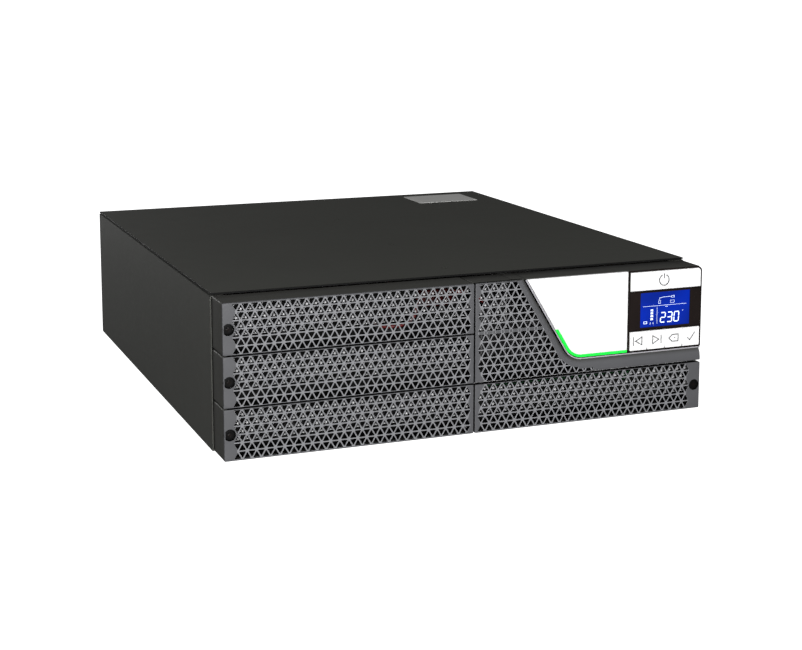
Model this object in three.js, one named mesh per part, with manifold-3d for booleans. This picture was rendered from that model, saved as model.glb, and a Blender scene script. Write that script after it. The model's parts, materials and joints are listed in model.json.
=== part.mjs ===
// A 3U rack or tower uninterruptible power supply: a sheet-steel case with a battery bay on the left,
// an electronics bay on the right, a moulded front bezel with a display module, and a rear panel with
// fans, inlet and outlets. Millimetres. X runs to the right seen from the front, Y to the rear, Z up.
import * as THREE from "three";
import { mergeVertices } from "three/addons/utils/BufferGeometryUtils.js";
import Module from "manifold-3d";

const wasm = await Module();
wasm.setup();

// Driving dimensions.
const CASE = {
  width: 440, depth: 468, wallTop: 129.2, coverBottom: 130, height: 131.5, flange: 12, lidInset: 0.4,
};
const BEZEL = { width: 438, bottom: 0.6, top: 129.5, depth: 34, face: 2.5, wall: 2, seamWall: 10 };
const REAR_PROUD = 6;
const SHEET = 1.2;
const GAP = 0.3;
const SEAM = 0.4;
const SPLIT_X = -1.5;
const ROWS = 3;
// A cutting tool runs this far past the faces it opens.
const PAST = 1;

// Places worked out from them.
const FRONT_Y = -(BEZEL.depth + CASE.depth + REAR_PROUD) / 2;
const CASE_FRONT = FRONT_Y + BEZEL.depth;
const CASE_REAR = CASE_FRONT + CASE.depth;
const HALF_CASE = CASE.width / 2;
const HALF_BEZEL = BEZEL.width / 2;
const INSIDE_X = HALF_CASE - SHEET - GAP;
const ROW_HEIGHT = (BEZEL.top - BEZEL.bottom) / ROWS;
const FLOOR_TOP = SHEET;
const INSIDE_TOP = CASE.wallTop - SHEET - GAP;
const PANEL_BACK = CASE_REAR + GAP;

// The white fascia's edge: a 60 degree slope that turns through an arc into a level bottom edge.
const FASCIA = {
  topX: 46.2, bottom: 57.6, radius: 17, right: 144.9, stripTop: 84, stripWidth: 2.7, arcSteps: 6,
};
const SLOPE = THREE.MathUtils.degToRad(60);

// The display module: three openings in one flange, for the power button, the display and the keys.
const MODULE = {
  left: 145.4, bottom: 57.2, corner: 4, power: 111.4, window: 76.4, border: 1.2, seam: 1,
  depth: 26, wall: 1.5, pocket: 5, recess: 6, fit: 0.25, capThick: 2, capDepth: 4,
};
const GLASS = {
  left: 157.4, right: 207.2, bottom: 78.4, top: 109.2, hiddenSide: 3, hiddenTop: 0.5, hiddenBottom: 1,
};
const DISPLAY_BOARD = { front: 8, thickness: 1.6 };
const KEYS = ["key_previous", "key_next", "key_escape", "key_enter"];
const SCREW = { radius: 4.25, inset: 4.8, rightInset: 5.8, height: 21.5, recess: 0.8, head: 3, slot: 1.2 };

// Windows in the front frame's electronics side, as left, right, bottom and top.
const FRAME_WINDOWS = [[12, 136, 52, 118], [152, 206, 64, 118], [12, 206, 8, 38]];
const PARTITION = { x: -3, rear: 130 };

// Battery pack: six 12 V, 9 Ah blocks, three across and two deep.
const BLOCK = { width: 65, depth: 151, height: 94, rim: 2, inset: 1, clearance: 6 };
const TAB = { width: 6, thickness: 1, height: 6, side: 8, front: 7 };
const PACK = {
  left: -210.5, right: -7.5, wallHeight: 40, mouthTop: 104, mouthGap: 1.5, overlap: 3,
  columns: 3, rows: 2, gap: 0.8,
};
const GRIP = { half: 55, z: 22, radius: 4, leg: [[0, 0], [0, -8], [3, -15], [10, -19]] };
const CONNECTOR = {
  x: -30, z: 117, width: 30, height: 16, socketDepth: 8, plugDepth: 12, pole: 9, poleX: 7, poleDepth: 5,
};
const LEAD = { radius: 3, holeX: -80, holeZ: 95, holeRadius: 5 };

// Electronics on the main board.
const BOARD = {
  left: 10, right: 212, front: -150, rear: 205, height: 9.6, thickness: 1.6, post: 3, inset: 6,
};
const HEAT_SINK = { front: -130, rear: 40, base: 6, fins: 7, pitch: 8, fin: 2, height: 70 };
const HEAT_SINKS = [{ name: "heat_sink_inverter", x: 20 }, { name: "heat_sink_charger", x: 84 }];
const TRANSFORMER = {
  left: 150, right: 204, front: -128, rear: -72, height: 50, coilInset: 12, coilOut: 8, coilDrop: 8,
};
const TOROID = { x: 175, inner: 11, outer: 26, height: 24 };
const TOROIDS = [{ name: "inductor_output", y: -30 }, { name: "inductor_input", y: 35 }];
const CANS = {
  count: 4, firstX: 38, pitch: 38, y: 90, radius: 16, bottom: 2, top: 56, plate: 3, left: 20, right: 170,
  half: 20,
};

const FAN = {
  size: 80, depth: 25, bore: 38.5, hub: 16, blade: 36.5, blades: 7, chord: 17, bladeThick: 1.6, pitch: 38,
    z: 65,
  arm: 3, armDepth: 4, rotorFront: 1, rotorRear: 6, columns: [75, 165],
};
const GUARD = { rings: [8, 18, 28, 38], half: 1, span: 100, depth: 2 };

// Rear panel fittings: a face centre and size for each.
const SLOT = { x: 2, z: 65, width: 42, height: 112, throat: [34, 96], knob: 4, knobInset: 5 };
const SIGNALS = { x: -44, z: 65, width: 36, height: 112, trim: [8, 10] };
const BANKS = [{ name: "outlet_bank_upper", z: 103 }, { name: "outlet_bank_lower", z: 71 }];
const BANK = {
  x: -142, width: 124, height: 28, pitch: 30, count: 4, mouth: [24.5, 17.2], core: [18, 11], recess: 14,
  depth: 20,
};
const INLET = { x: -187, z: 28, width: 34, height: 30, mouth: [27, 19.5], depth: 24 };
const HIGH_OUTLET = {
  x: -140, z: 28, width: 34, height: 30, mouth: [28, 20.5], core: [22, 14.5], recess: 16, depth: 24,
};
const FLANGE = 2;
const BANK_TRIM = [6, 4];
const SOCKET_TRIM = [4, 6];
const CONTACT = { width: 2.4, height: 4.6, places: [[-7, 1.5], [0, -2.5], [7, 1.5]] };
const PINS = { width: 2, height: 6, carrier: 4, short: 4, places: [[-7.5, -2], [0, 3], [7.5, -2]] };
const BREAKER = { x: -96, z: 28, radius: 9, bore: 5, button: 4.6, depth: 24, collar: 3, proud: 5 };
const SERIAL = { dz: 32, size: [17, 31], back: 10, proud: 3 };
const USB = {
  dz: -4, size: [13, 12], mouth: [9, 8.4], tongue: [5.4, 3.2], back: 14, pocket: 6, proud: 2.5,
};
const STOP = { dz: -36, size: [20, 12], back: 10, proud: 4 };
const LABEL = { x: 160, y: CASE_REAR - 44, width: 70, depth: 52, gap: 0.1, thick: 0.2 };

const LOOKS = {
  case_paint: { color: 0x393a37, roughness: 0.55, metalness: 0.2 },
  galvanised: { color: 0xb4b7b8, roughness: 0.35, metalness: 0.9 },
  bezel_plastic: { color: 0x67686b, roughness: 0.5, metalness: 0 },
  white_plastic: { color: 0xf4f4f4, roughness: 0.35, metalness: 0 },
  black_plastic: { color: 0x161616, roughness: 0.45, metalness: 0 },
  light_green: { color: 0x12e63a, roughness: 0.4, metalness: 0 },
  lcd_blue: { color: 0x1030c0, roughness: 0.2, metalness: 0 },
  circuit_board: { color: 0x1d4a2a, roughness: 0.5, metalness: 0 },
  battery_case: { color: 0x2a2c30, roughness: 0.6, metalness: 0 },
  aluminium: { color: 0xc2c4c6, roughness: 0.35, metalness: 0.9 },
  copper: { color: 0xb06a3a, roughness: 0.4, metalness: 0.8 },
  red_wire: { color: 0xb01818, roughness: 0.5, metalness: 0 },
  screw_black: { color: 0x101010, roughness: 0.4, metalness: 0.6 },
  label_grey: { color: 0x80807e, roughness: 0.7, metalness: 0 },
};

const ups = new THREE.Group();

function addPart(name, look, geometry) {
  const mesh = new THREE.Mesh(geometry, new THREE.MeshStandardMaterial(LOOKS[look]));
  mesh.name = name;
  ups.add(mesh);
}

// A closed geometry as a manifold solid, and back.
function toSolid(geometry) {
  const bare = geometry.clone();
  bare.deleteAttribute("normal");
  bare.deleteAttribute("uv");
  const merged = mergeVertices(bare, 1e-4);
  return new wasm.Manifold(
    new wasm.Mesh({
      numProp: 3,
      vertProperties: new Float32Array(merged.attributes.position.array),
      triVerts: new Uint32Array(merged.index.array),
    }),
  );
}

function toGeometry(solid) {
  const mesh = solid.getMesh();
  return new THREE.BufferGeometry()
    .setAttribute("position", new THREE.BufferAttribute(new Float32Array(mesh.vertProperties), 3))
    .setIndex(new THREE.BufferAttribute(new Uint32Array(mesh.triVerts), 1));
}

function join(geometries) {
  return toGeometry(geometries.map(toSolid).reduce((whole, piece) => whole.add(piece)));
}

function cut(geometry, tools) {
  return toGeometry(tools.map(toSolid).reduce((whole, tool) => whole.subtract(tool), toSolid(geometry)));
}

// A box between two planes on each axis.
function box(x0, x1, y0, y1, z0, z1) {
  const geometry = new THREE.BoxGeometry(x1 - x0, y1 - y0, z1 - z0);
  return geometry.translate((x0 + x1) / 2, (y0 + y1) / 2, (z0 + z1) / 2);
}

// A box given by the centre and size of its face seen from the front, and its two Y planes.
function faceBox(x, z, width, height, y0, y1) {
  return box(x - width / 2, x + width / 2, y0, y1, z - height / 2, z + height / 2);
}

function cylinderY(radius, x, z, y0, y1, sides = 20) {
  const geometry = new THREE.CylinderGeometry(radius, radius, y1 - y0, sides);
  return geometry.translate(0, (y0 + y1) / 2, 0).translate(x, 0, z);
}

function cylinderZ(radius, x, y, z0, z1, sides = 16) {
  const geometry = new THREE.CylinderGeometry(radius, radius, z1 - z0, sides);
  return geometry.rotateX(Math.PI / 2).translate(x, y, (z0 + z1) / 2);
}

// An outline in X and Z, pushed along Y from y0 to y1.
function plate(points, y0, y1) {
  const shape = new THREE.Shape(points.map(([x, z]) => new THREE.Vector2(x, z)));
  const geometry = new THREE.ExtrudeGeometry(shape, { depth: y1 - y0, bevelEnabled: false });
  return geometry.rotateX(Math.PI / 2).translate(0, y1, 0);
}

// A round bar that follows a smooth curve through the points.
function bar(points, radius, steps, sides = 8) {
  const path = new THREE.CatmullRomCurve3(points.map((p) => new THREE.Vector3(...p)), false, "centripetal");
  const section = new THREE.Shape();
  section.absarc(0, 0, radius, 0, 2 * Math.PI);
  const settings = { steps, curveSegments: sides, bevelEnabled: false, extrudePath: path };
  return new THREE.ExtrudeGeometry(section, settings);
}

// A ring with a rectangular section, lying in the XZ plane round a Y axis.
function ringY(inner, outer, x, z, y0, y1, sides = 24) {
  const corners = [[inner, y0], [outer, y0], [outer, y1], [inner, y1], [inner, y0]];
  const profile = corners.map(([r, y]) => new THREE.Vector2(r, y));
  return new THREE.LatheGeometry(profile, sides).translate(x, 0, z);
}

// The case: floor and sides in one bent sheet, a lid, front frame, and a bay partition.
function addCase() {
  const flangeRear = CASE_REAR - SHEET - GAP;
  const sides = [-1, 1].flatMap((side) => {
    const [outer, inner, lip] = [HALF_CASE, HALF_CASE - SHEET,
      HALF_CASE - CASE.flange].map((x) => side * x);
    return [
      box(Math.min(outer, inner), Math.max(outer, inner), CASE_FRONT, CASE_REAR, 0, CASE.wallTop),
      box(Math.min(outer, lip), Math.max(outer, lip), CASE_FRONT, flangeRear, CASE.wallTop - SHEET,
        CASE.wallTop),
    ];
  });
  const floor = box(-HALF_CASE, HALF_CASE, CASE_FRONT, CASE_REAR, 0, FLOOR_TOP);
  addPart("base_tray", "case_paint", join([floor, ...sides]));

  const lidHalf = HALF_CASE - CASE.lidInset;
  addPart("top_cover", "case_paint", box(-lidHalf, lidHalf, CASE_FRONT, CASE_REAR, CASE.coverBottom,
    CASE.height));

  const frontSheet = box(-INSIDE_X, INSIDE_X, CASE_FRONT, CASE_FRONT + SHEET, FLOOR_TOP + GAP, INSIDE_TOP);
  const [y0, y1] = [CASE_FRONT - PAST, CASE_FRONT + SHEET + PAST];
  const packWindow = box(PACK.left - PACK.mouthGap, PACK.right + PACK.mouthGap, y0, y1, -PAST,
    PACK.mouthTop);
  const windows = FRAME_WINDOWS.map(([x0, x1, z0, z1]) => box(x0, x1, y0, y1, z0, z1));
  addPart("front_frame", "galvanised", cut(frontSheet, [packWindow, ...windows]));

  addPart("bay_partition", "galvanised", box(PARTITION.x, PARTITION.x + SHEET,
    CASE_FRONT + SHEET + GAP, PARTITION.rear, FLOOR_TOP + GAP, INSIDE_TOP));
}

// A bezel cover: a front plate with a wall run back from each edge. The depths are the walls' own.
function coverShell(x0, x1, z0, z1, depths) {
  const back = (depth) => FRONT_Y + depth;
  return join([
    box(x0, x1, FRONT_Y, FRONT_Y + BEZEL.face, z0, z1),
    box(x0, x0 + BEZEL.wall, FRONT_Y, back(depths.left), z0, z1),
    box(x1 - BEZEL.wall, x1, FRONT_Y, back(depths.right), z0, z1),
    box(x0, x1, FRONT_Y, back(depths.bottom), z0, z0 + BEZEL.wall),
    box(x0, x1, FRONT_Y, back(depths.top), z1 - BEZEL.wall, z1),
  ]);
}

// One bezel cover, a third of the bezel's height, with the captive screw that holds its outer end.
// Walls at the bezel's outside run back to the case, and hidden walls along the seams are short.
function addCover(name, x0, x1, row, screwX) {
  const full = BEZEL.depth - GAP;
  const hidden = BEZEL.seamWall;
  const z0 = BEZEL.bottom + row * ROW_HEIGHT + (row > 0 ? SEAM / 2 : 0);
  const z1 = BEZEL.bottom + (row + 1) * ROW_HEIGHT - (row < ROWS - 1 ? SEAM / 2 : 0);
  const depths = {
    left: x0 < SPLIT_X ? full : hidden,
    right: x1 === HALF_BEZEL ? full : hidden,
    bottom: row === 0 ? full - BEZEL.wall : hidden,
    top: row === ROWS - 1 ? full : hidden,
  };
  const screwZ = BEZEL.bottom + row * ROW_HEIGHT + SCREW.height;
  const headY = FRONT_Y + SCREW.recess;
  const headBack = headY + SCREW.head;
  const shell = coverShell(x0, x1, z0, z1, depths);
  const screwHole = cylinderY(SCREW.radius + GAP, screwX, screwZ, FRONT_Y - PAST, headBack + GAP);
  addPart(name, "bezel_plastic", cut(shell, [screwHole]));

  const head = cylinderY(SCREW.radius, screwX, screwZ, headY, headBack);
  const shank = cylinderY(SCREW.radius / 2, screwX, screwZ, headY + SCREW.head / 2, CASE_FRONT - 2 * SHEET);
  const slotLength = 1.5 * SCREW.radius;
  const slots = [[slotLength, SCREW.slot], [SCREW.slot, slotLength]].map(([width, height]) => faceBox(
    screwX, screwZ, width, height, headY - PAST, headY + SCREW.slot));
  addPart(name + "_screw", "screw_black", cut(join([head, shank]), slots));
}

function addCovers() {
  const leftEdge = -HALF_BEZEL;
  const leftEnd = SPLIT_X - SEAM / 2;
  const rightStart = SPLIT_X + SEAM / 2;
  const places = ["bottom", "middle", "top"];
  places.forEach((place, row) => {
    addCover("cover_left_" + place, leftEdge, leftEnd, row, leftEdge + SCREW.inset);
  });
  addCover("cover_right_bottom", rightStart, HALF_BEZEL, 0, HALF_BEZEL - SCREW.rightInset);
}

// The fascia's edge, moved outwards (left and down) by an offset, from the height zTop to the right end.
function fasciaEdge(offset, zTop, right) {
  const radius = FASCIA.radius + offset;
  const normal = [Math.sin(SLOPE), Math.cos(SLOPE)];
  const tangentZ = FASCIA.bottom + FASCIA.radius * (1 - normal[1]);
  const tangentX = FASCIA.topX + (BEZEL.top - tangentZ) / Math.tan(SLOPE);
  const centre = [tangentX + FASCIA.radius * normal[0], FASCIA.bottom + FASCIA.radius];
  const start = [centre[0] - radius * normal[0], centre[1] - radius * normal[1]];
  const points = [[start[0] - (zTop - start[1]) / Math.tan(SLOPE), zTop]];
  for (let i = 0; i <= FASCIA.arcSteps; i++) {
    const angle = Math.PI + SLOPE / 2 + (SLOPE * i) / FASCIA.arcSteps;
    points.push([centre[0] + radius * Math.cos(angle), centre[1] + radius * Math.sin(angle)]);
  }
  points.push([right, FASCIA.bottom - offset]);
  return points;
}

// The upper right bezel: its face outside the fascia's edge, the diaphragm behind the fascia, the step
// between the two, and walls that run back to the case and round the display module's pocket.
function addDisplayBezel() {
  const { wall, top, face, seamWall } = BEZEL;
  const x0 = SPLIT_X + SEAM / 2;
  const z0 = BEZEL.bottom + ROW_HEIGHT + SEAM / 2;
  const back = CASE_FRONT - GAP;
  const pocketBack = back - SCREW.rightInset;
  const behind = FRONT_Y + face + GAP;
  const shelfTop = MODULE.bottom - GAP;
  const stepWidth = 3;
  const edge = fasciaEdge(GAP, top, HALF_BEZEL).reverse();
  const stepOutside = fasciaEdge(stepWidth, top - 1, MODULE.left);
  const stepInside = fasciaEdge(GAP, top - 1, MODULE.left).reverse();
  addPart("display_bezel", "bezel_plastic", join([
    plate([[x0, z0], [HALF_BEZEL, z0], [HALF_BEZEL, shelfTop], ...edge.slice(1), [x0, top]], FRONT_Y,
      FRONT_Y + face),
    plate([...stepOutside, [MODULE.left, top - 1]], behind, behind + SHEET),
    plate([...stepOutside, ...stepInside], FRONT_Y + 1, behind + 1),
    box(x0, x0 + wall, FRONT_Y, FRONT_Y + seamWall, z0, top),
    box(x0, HALF_BEZEL, FRONT_Y, FRONT_Y + seamWall, z0, z0 + wall),
    box(HALF_BEZEL - wall, HALF_BEZEL, behind, back, z0, top),
    box(HALF_BEZEL - wall, HALF_BEZEL, FRONT_Y, back, z0, shelfTop),
    box(x0, HALF_BEZEL, behind, back, top - wall, top),
    box(x0, FASCIA.topX - 1, FRONT_Y, back, top - wall, top),
    box(MODULE.left - wall, MODULE.left, behind, pocketBack, shelfTop - wall, top),
    box(MODULE.left - wall, HALF_BEZEL, FRONT_Y, pocketBack, shelfTop - wall, shelfTop),
  ]));
}

function addFascia() {
  const right = FASCIA.right;
  const inner = FASCIA.stripWidth + GAP;
  const y1 = FRONT_Y + BEZEL.face;
  const aboveStrip = fasciaEdge(0, BEZEL.top, right)[0];
  const stripStart = fasciaEdge(0, FASCIA.stripTop, right);
  const belowStrip = fasciaEdge(-inner, FASCIA.stripTop, right);
  addPart("fascia_panel", "white_plastic", plate(
    [aboveStrip, stripStart[0], ...belowStrip, [right, BEZEL.top]], FRONT_Y, y1));

  const stripTop = FASCIA.stripTop - GAP;
  const outerEdge = fasciaEdge(0, stripTop, right);
  const innerEdge = fasciaEdge(-FASCIA.stripWidth, stripTop, right).reverse();
  addPart("light_strip", "light_green", plate([...outerEdge, ...innerEdge], FRONT_Y + 0.2, y1));
}

// The display module: a black housing with the power button, the display and four keys in its face.
function addDisplayModule() {
  const right = HALF_BEZEL;
  const left = MODULE.left + GAP;
  const bottom = MODULE.bottom;
  const innerLeft = left + MODULE.border;
  const innerRight = right - MODULE.border;
  const powerTop = BEZEL.top - MODULE.border;
  const keysBottom = bottom + MODULE.border;
  const keysTop = MODULE.window - MODULE.seam;
  const windowTop = MODULE.power - MODULE.seam;
  const cornerSteps = 4;
  const corner = Array.from({ length: cornerSteps + 1 }, (unused, i) => {
    const angle = (Math.PI / 2) * (i / cornerSteps);
    return [
      right - MODULE.corner + MODULE.corner * Math.cos(angle),
      BEZEL.top - MODULE.corner + MODULE.corner * Math.sin(angle),
    ];
  });
  const flange = plate([[left, bottom], [right, bottom], ...corner, [left, BEZEL.top]],
    FRONT_Y + 0.2, FRONT_Y + BEZEL.face);
  const back = FRONT_Y + MODULE.depth;
  const wall = MODULE.wall;
  const shell = {
    left: left + wall, right: right - BEZEL.wall - 0.5, bottom: bottom + 1, top: BEZEL.top - 2.5,
  };
  const body = box(shell.left, shell.right, FRONT_Y + 1, back, shell.bottom, shell.top);
  const hollow = box(shell.left + wall, shell.right - wall, FRONT_Y + MODULE.pocket, back + PAST,
    shell.bottom + wall, shell.top - wall);
  const openings = [[MODULE.power, powerTop], [MODULE.window, windowTop], [keysBottom, keysTop]].map(([z0,
    z1]) => box(
    innerLeft, innerRight, FRONT_Y - PAST, FRONT_Y + MODULE.recess, z0, z1));
  addPart("display_housing", "black_plastic", cut(join([flange, body]), [hollow, ...openings]));

  // A cap has a thin wide face and a narrower stem, so that it clears the bezel's side wall when pressed.
  const fit = MODULE.fit;
  const stemRight = shell.right - BEZEL.wall - 0.5;
  const cap = (x0, x1, z0, z1) => join([
    box(x0 + fit, x1 - fit, FRONT_Y, FRONT_Y + MODULE.capThick, z0 + fit, z1 - fit),
    box(x0 + 1, Math.min(x1 - 1, stemRight), FRONT_Y + 1, FRONT_Y + MODULE.capDepth, z0 + 1, z1 - 1),
  ]);
  addPart("power_button", "white_plastic", cap(innerLeft, innerRight, MODULE.power, powerTop));
  const pitch = (innerRight - innerLeft) / KEYS.length;
  KEYS.forEach((name, i) => {
    const x0 = innerLeft + i * pitch;
    addPart(name, "white_plastic", cap(x0, x0 + pitch, keysBottom, keysTop));
  });

  const surround = box(innerLeft + fit, innerRight - fit, FRONT_Y + GAP, FRONT_Y + MODULE.capThick,
    MODULE.window + fit, windowTop - fit);
  const window = box(GLASS.left, GLASS.right, FRONT_Y - PAST, FRONT_Y + MODULE.recess, GLASS.bottom,
    GLASS.top);
  addPart("display_surround", "black_plastic", cut(surround, [window]));
  addPart("lcd_panel", "lcd_blue", box(GLASS.left - GLASS.hiddenSide, GLASS.right + GLASS.hiddenSide,
    FRONT_Y + MODULE.capThick + GAP, FRONT_Y + MODULE.recess,
    GLASS.bottom - GLASS.hiddenBottom, GLASS.top + GLASS.hiddenTop));
  const boardY = FRONT_Y + DISPLAY_BOARD.front;
  addPart("display_board", "circuit_board", box(shell.left + wall + 1, shell.right - wall - 1,
    boardY, boardY + DISPLAY_BOARD.thickness, shell.bottom + wall + 1, shell.top - wall - 1));
}

// One battery block: a case with a rimmed lid and two tab terminals near its front edge.
function batteryBlock(x, y, z) {
  const { width, depth, height, rim, inset } = BLOCK;
  const top = z + height;
  const tabs = [x + TAB.side, x + width - TAB.side - TAB.width].map((tabX) => box(tabX, tabX + TAB.width,
    y + TAB.front, y + TAB.front + TAB.thickness, top - 1, top + TAB.height));
  return join([
    box(x, x + width, y, y + depth, z, top - rim),
    box(x + inset, x + width - inset, y + inset, y + depth - inset, top - rim - 1, top),
    ...tabs,
  ]);
}

// The battery pack: a drawer with a full front plate, six blocks, a handle, a lead and its plug.
function addBatteryPack() {
  const floor = FLOOR_TOP + GAP;
  const firstY = CASE_FRONT + BLOCK.clearance;
  const rear = firstY + PACK.rows * (BLOCK.depth + 1) + SHEET;
  const plateBack = CASE_FRONT - GAP;
  const plateFront = plateBack - SHEET;
  const wallTop = floor + PACK.wallHeight;
  const plateTop = PACK.mouthTop + PACK.mouthGap + 0.5;
  const front = box(PACK.left - PACK.overlap, PACK.right + PACK.overlap, plateFront, plateBack, floor,
    plateTop);
  const leadHole = cylinderY(LEAD.holeRadius, LEAD.holeX, LEAD.holeZ, plateFront - PAST, plateBack + PAST,
    12);
  const walls = [PACK.left, PACK.right - SHEET].map((x) => box(x, x + SHEET, plateFront, rear, floor,
    wallTop));
  addPart("pack_tray", "galvanised", cut(join([
    front,
    box(PACK.left, PACK.right, plateFront, rear, floor, floor + SHEET),
    box(PACK.left, PACK.right, rear - SHEET, rear, floor, wallTop),
    ...walls,
  ]), [leadHole]));

  const rowWidth = PACK.columns * BLOCK.width + (PACK.columns - 1) * PACK.gap;
  const firstX = (PACK.left + PACK.right - rowWidth) / 2;
  for (let row = 0; row < PACK.rows; row++) {
    for (let column = 0; column < PACK.columns; column++) {
      const x = firstX + column * (BLOCK.width + PACK.gap);
      const y = firstY + row * (BLOCK.depth + PACK.gap);
      const number = row * PACK.columns + column + 1;
      addPart("battery_" + number, "battery_case", batteryBlock(x, y, floor + SHEET + GAP));
    }
  }

  const handleX = (PACK.left + PACK.right) / 2;
  const handleY = plateFront - GAP;
  const leg = (sign) => GRIP.leg.map(([inward, out]) => [handleX + sign * (GRIP.half - inward),
    handleY + out, GRIP.z]);
  addPart("pack_handle", "black_plastic", bar([...leg(-1), ...leg(1).reverse()], GRIP.radius, 36, 5));
  addPackConnector(plateFront, plateBack);
}

// The battery lead: a socket on the front frame, the pack's plug, and a lead through the pack's plate.
function addPackConnector(plateFront, plateBack) {
  const { x, z, width, height, pole, poleX } = CONNECTOR;
  const socketBack = CASE_FRONT - GAP;
  const socketFront = socketBack - CONNECTOR.socketDepth;
  const poles = [-1, 1].map((side) => faceBox(x + side * poleX, z, pole, pole,
    socketFront - PAST, socketFront + CONNECTOR.poleDepth));
  addPart("battery_socket", "black_plastic", cut(faceBox(x, z, width, height, socketFront, socketBack),
    poles));
  const plugBack = socketFront - GAP;
  const plugFront = plugBack - CONNECTOR.plugDepth;
  addPart("pack_plug", "red_wire", faceBox(x, z, width - 2, height - 2, plugFront, plugBack));
  const wireY = (plugFront + plugBack) / 2;
  const wireX = x - width / 2 + 1 - GAP;
  addPart("pack_lead", "red_wire", bar([
    [wireX, wireY, z],
    [wireX - 13, wireY - 1, z - 0.5],
    [LEAD.holeX + 12, wireY - 3, z - 6],
    [LEAD.holeX + 1, wireY - 2, z - 16],
    [LEAD.holeX, plateFront - 4, LEAD.holeZ + 0.5],
    [LEAD.holeX, plateBack + 3, LEAD.holeZ],
  ], LEAD.radius, 30, 4));
}

// A finned extrusion standing on the board.
function heatSink(x, z) {
  const { front, rear, base, fins, pitch, fin, height } = HEAT_SINK;
  const blades = Array.from({ length: fins }, (unused, i) => box(x + i * pitch, x + i * pitch + fin,
    front, rear, z, z + height));
  return join([box(x, x + (fins - 1) * pitch + fin, front, rear, z, z + base), ...blades]);
}

// The main board on its standoffs, and what stands on it.
function addElectronics() {
  const { left, right, front, rear, height, thickness, post, inset } = BOARD;
  const posts = [left + inset, right - inset].flatMap((x) => [front + inset, (front + rear) / 2,
    rear - inset].map(
    (y) => cylinderZ(post, x, y, FLOOR_TOP + GAP, height + 1, 10)));
  addPart("main_board", "circuit_board", join([box(left, right, front, rear, height, height + thickness),
    ...posts]));

  const top = height + thickness + GAP;
  HEAT_SINKS.forEach((sink) => addPart(sink.name, "aluminium", heatSink(sink.x, top)));

  const core = TRANSFORMER;
  addPart("transformer", "copper", join([
    box(core.left, core.right, core.front, core.rear, top, top + core.height),
    box(core.left + core.coilInset, core.right - core.coilInset, core.front - core.coilOut,
      core.rear + core.coilOut, top + core.coilDrop, top + core.height - core.coilDrop),
  ]));

  TOROIDS.forEach(({ name, y }) => {
    const toroid = ringY(TOROID.inner, TOROID.outer, 0, 0, 0, TOROID.height, 20);
    addPart(name, "copper", toroid.rotateX(Math.PI / 2).translate(TOROID.x, y, top));
  });

  const cans = Array.from({ length: CANS.count }, (unused, i) => cylinderZ(CANS.radius,
    CANS.firstX + i * CANS.pitch, CANS.y, top + CANS.bottom, top + CANS.top, 18));
  const strap = box(CANS.left, CANS.right, CANS.y - CANS.half, CANS.y + CANS.half, top, top + CANS.plate);
  addPart("capacitor_bank", "battery_case", join([strap, ...cans]));
}

// A cooling fan: a square frame with a bore, a hub on four arms, and a bladed rotor, with its finger guard.
function addFan(x, number) {
  const { z, size, bore, hub, arm } = FAN;
  const rear = CASE_REAR - SHEET - 2 * GAP;
  const front = rear - FAN.depth;
  const hubRear = front + FAN.armDepth;
  const frame = cut(faceBox(x, z, size, size, front, rear), [cylinderY(bore, x, z, front - PAST,
    rear + PAST, 32)]);
  const across = 2 * bore + 1;
  const arms = [[across, arm], [arm, across]].map(([width, height]) => faceBox(x, z, width, height, front,
    hubRear));
  addPart("fan_frame_" + number, "black_plastic", join([frame, ...arms, cylinderY(hub, x, z, front,
    hubRear)]));

  const rotorFront = hubRear + FAN.rotorFront;
  const rotorRear = rear - FAN.rotorRear;
  const root = hub - 3;
  const reach = FAN.blade - root;
  const blades = Array.from({ length: FAN.blades }, (unused, i) => {
    const blade = new THREE.BoxGeometry(reach, FAN.chord, FAN.bladeThick);
    blade.rotateX(THREE.MathUtils.degToRad(FAN.pitch)).translate(root + reach / 2, 0, 0);
    return blade.rotateY((2 * Math.PI * i) / FAN.blades).translate(x, (rotorFront + rotorRear) / 2, z);
  });
  addPart("fan_rotor_" + number, "black_plastic", join([cylinderY(hub, x, z, rotorFront, rotorRear),
    ...blades]));

  const { half, span } = GUARD;
  const guardBack = PANEL_BACK + GUARD.depth;
  const rings = GUARD.rings.map((r) => ringY(r - half, r + half, x, z, PANEL_BACK, guardBack));
  const spokes = [[span, 2 * half], [2 * half, span]].map(([width, height]) => faceBox(0, 0, width, height,
    PANEL_BACK, guardBack).rotateY(Math.PI / 4).translate(x, 0, z));
  addPart("fan_guard_" + number, "galvanised", join([...rings, ...spokes]));
}

// A mains outlet's recess round a raised contact block with three slots, as the solids to cut away.
function outletRecess(x, z, outlet) {
  const y0 = PANEL_BACK - outlet.recess;
  const y1 = PANEL_BACK + FLANGE + PAST;
  const ring = cut(faceBox(x, z, ...outlet.mouth, y0, y1), [faceBox(x, z, ...outlet.core, y0 - PAST,
    y1 + PAST)]);
  const slots = CONTACT.places.map(([dx, dz]) => faceBox(x + dx, z + dz, CONTACT.width, CONTACT.height, y0,
    y1));
  return [ring, ...slots];
}

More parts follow.
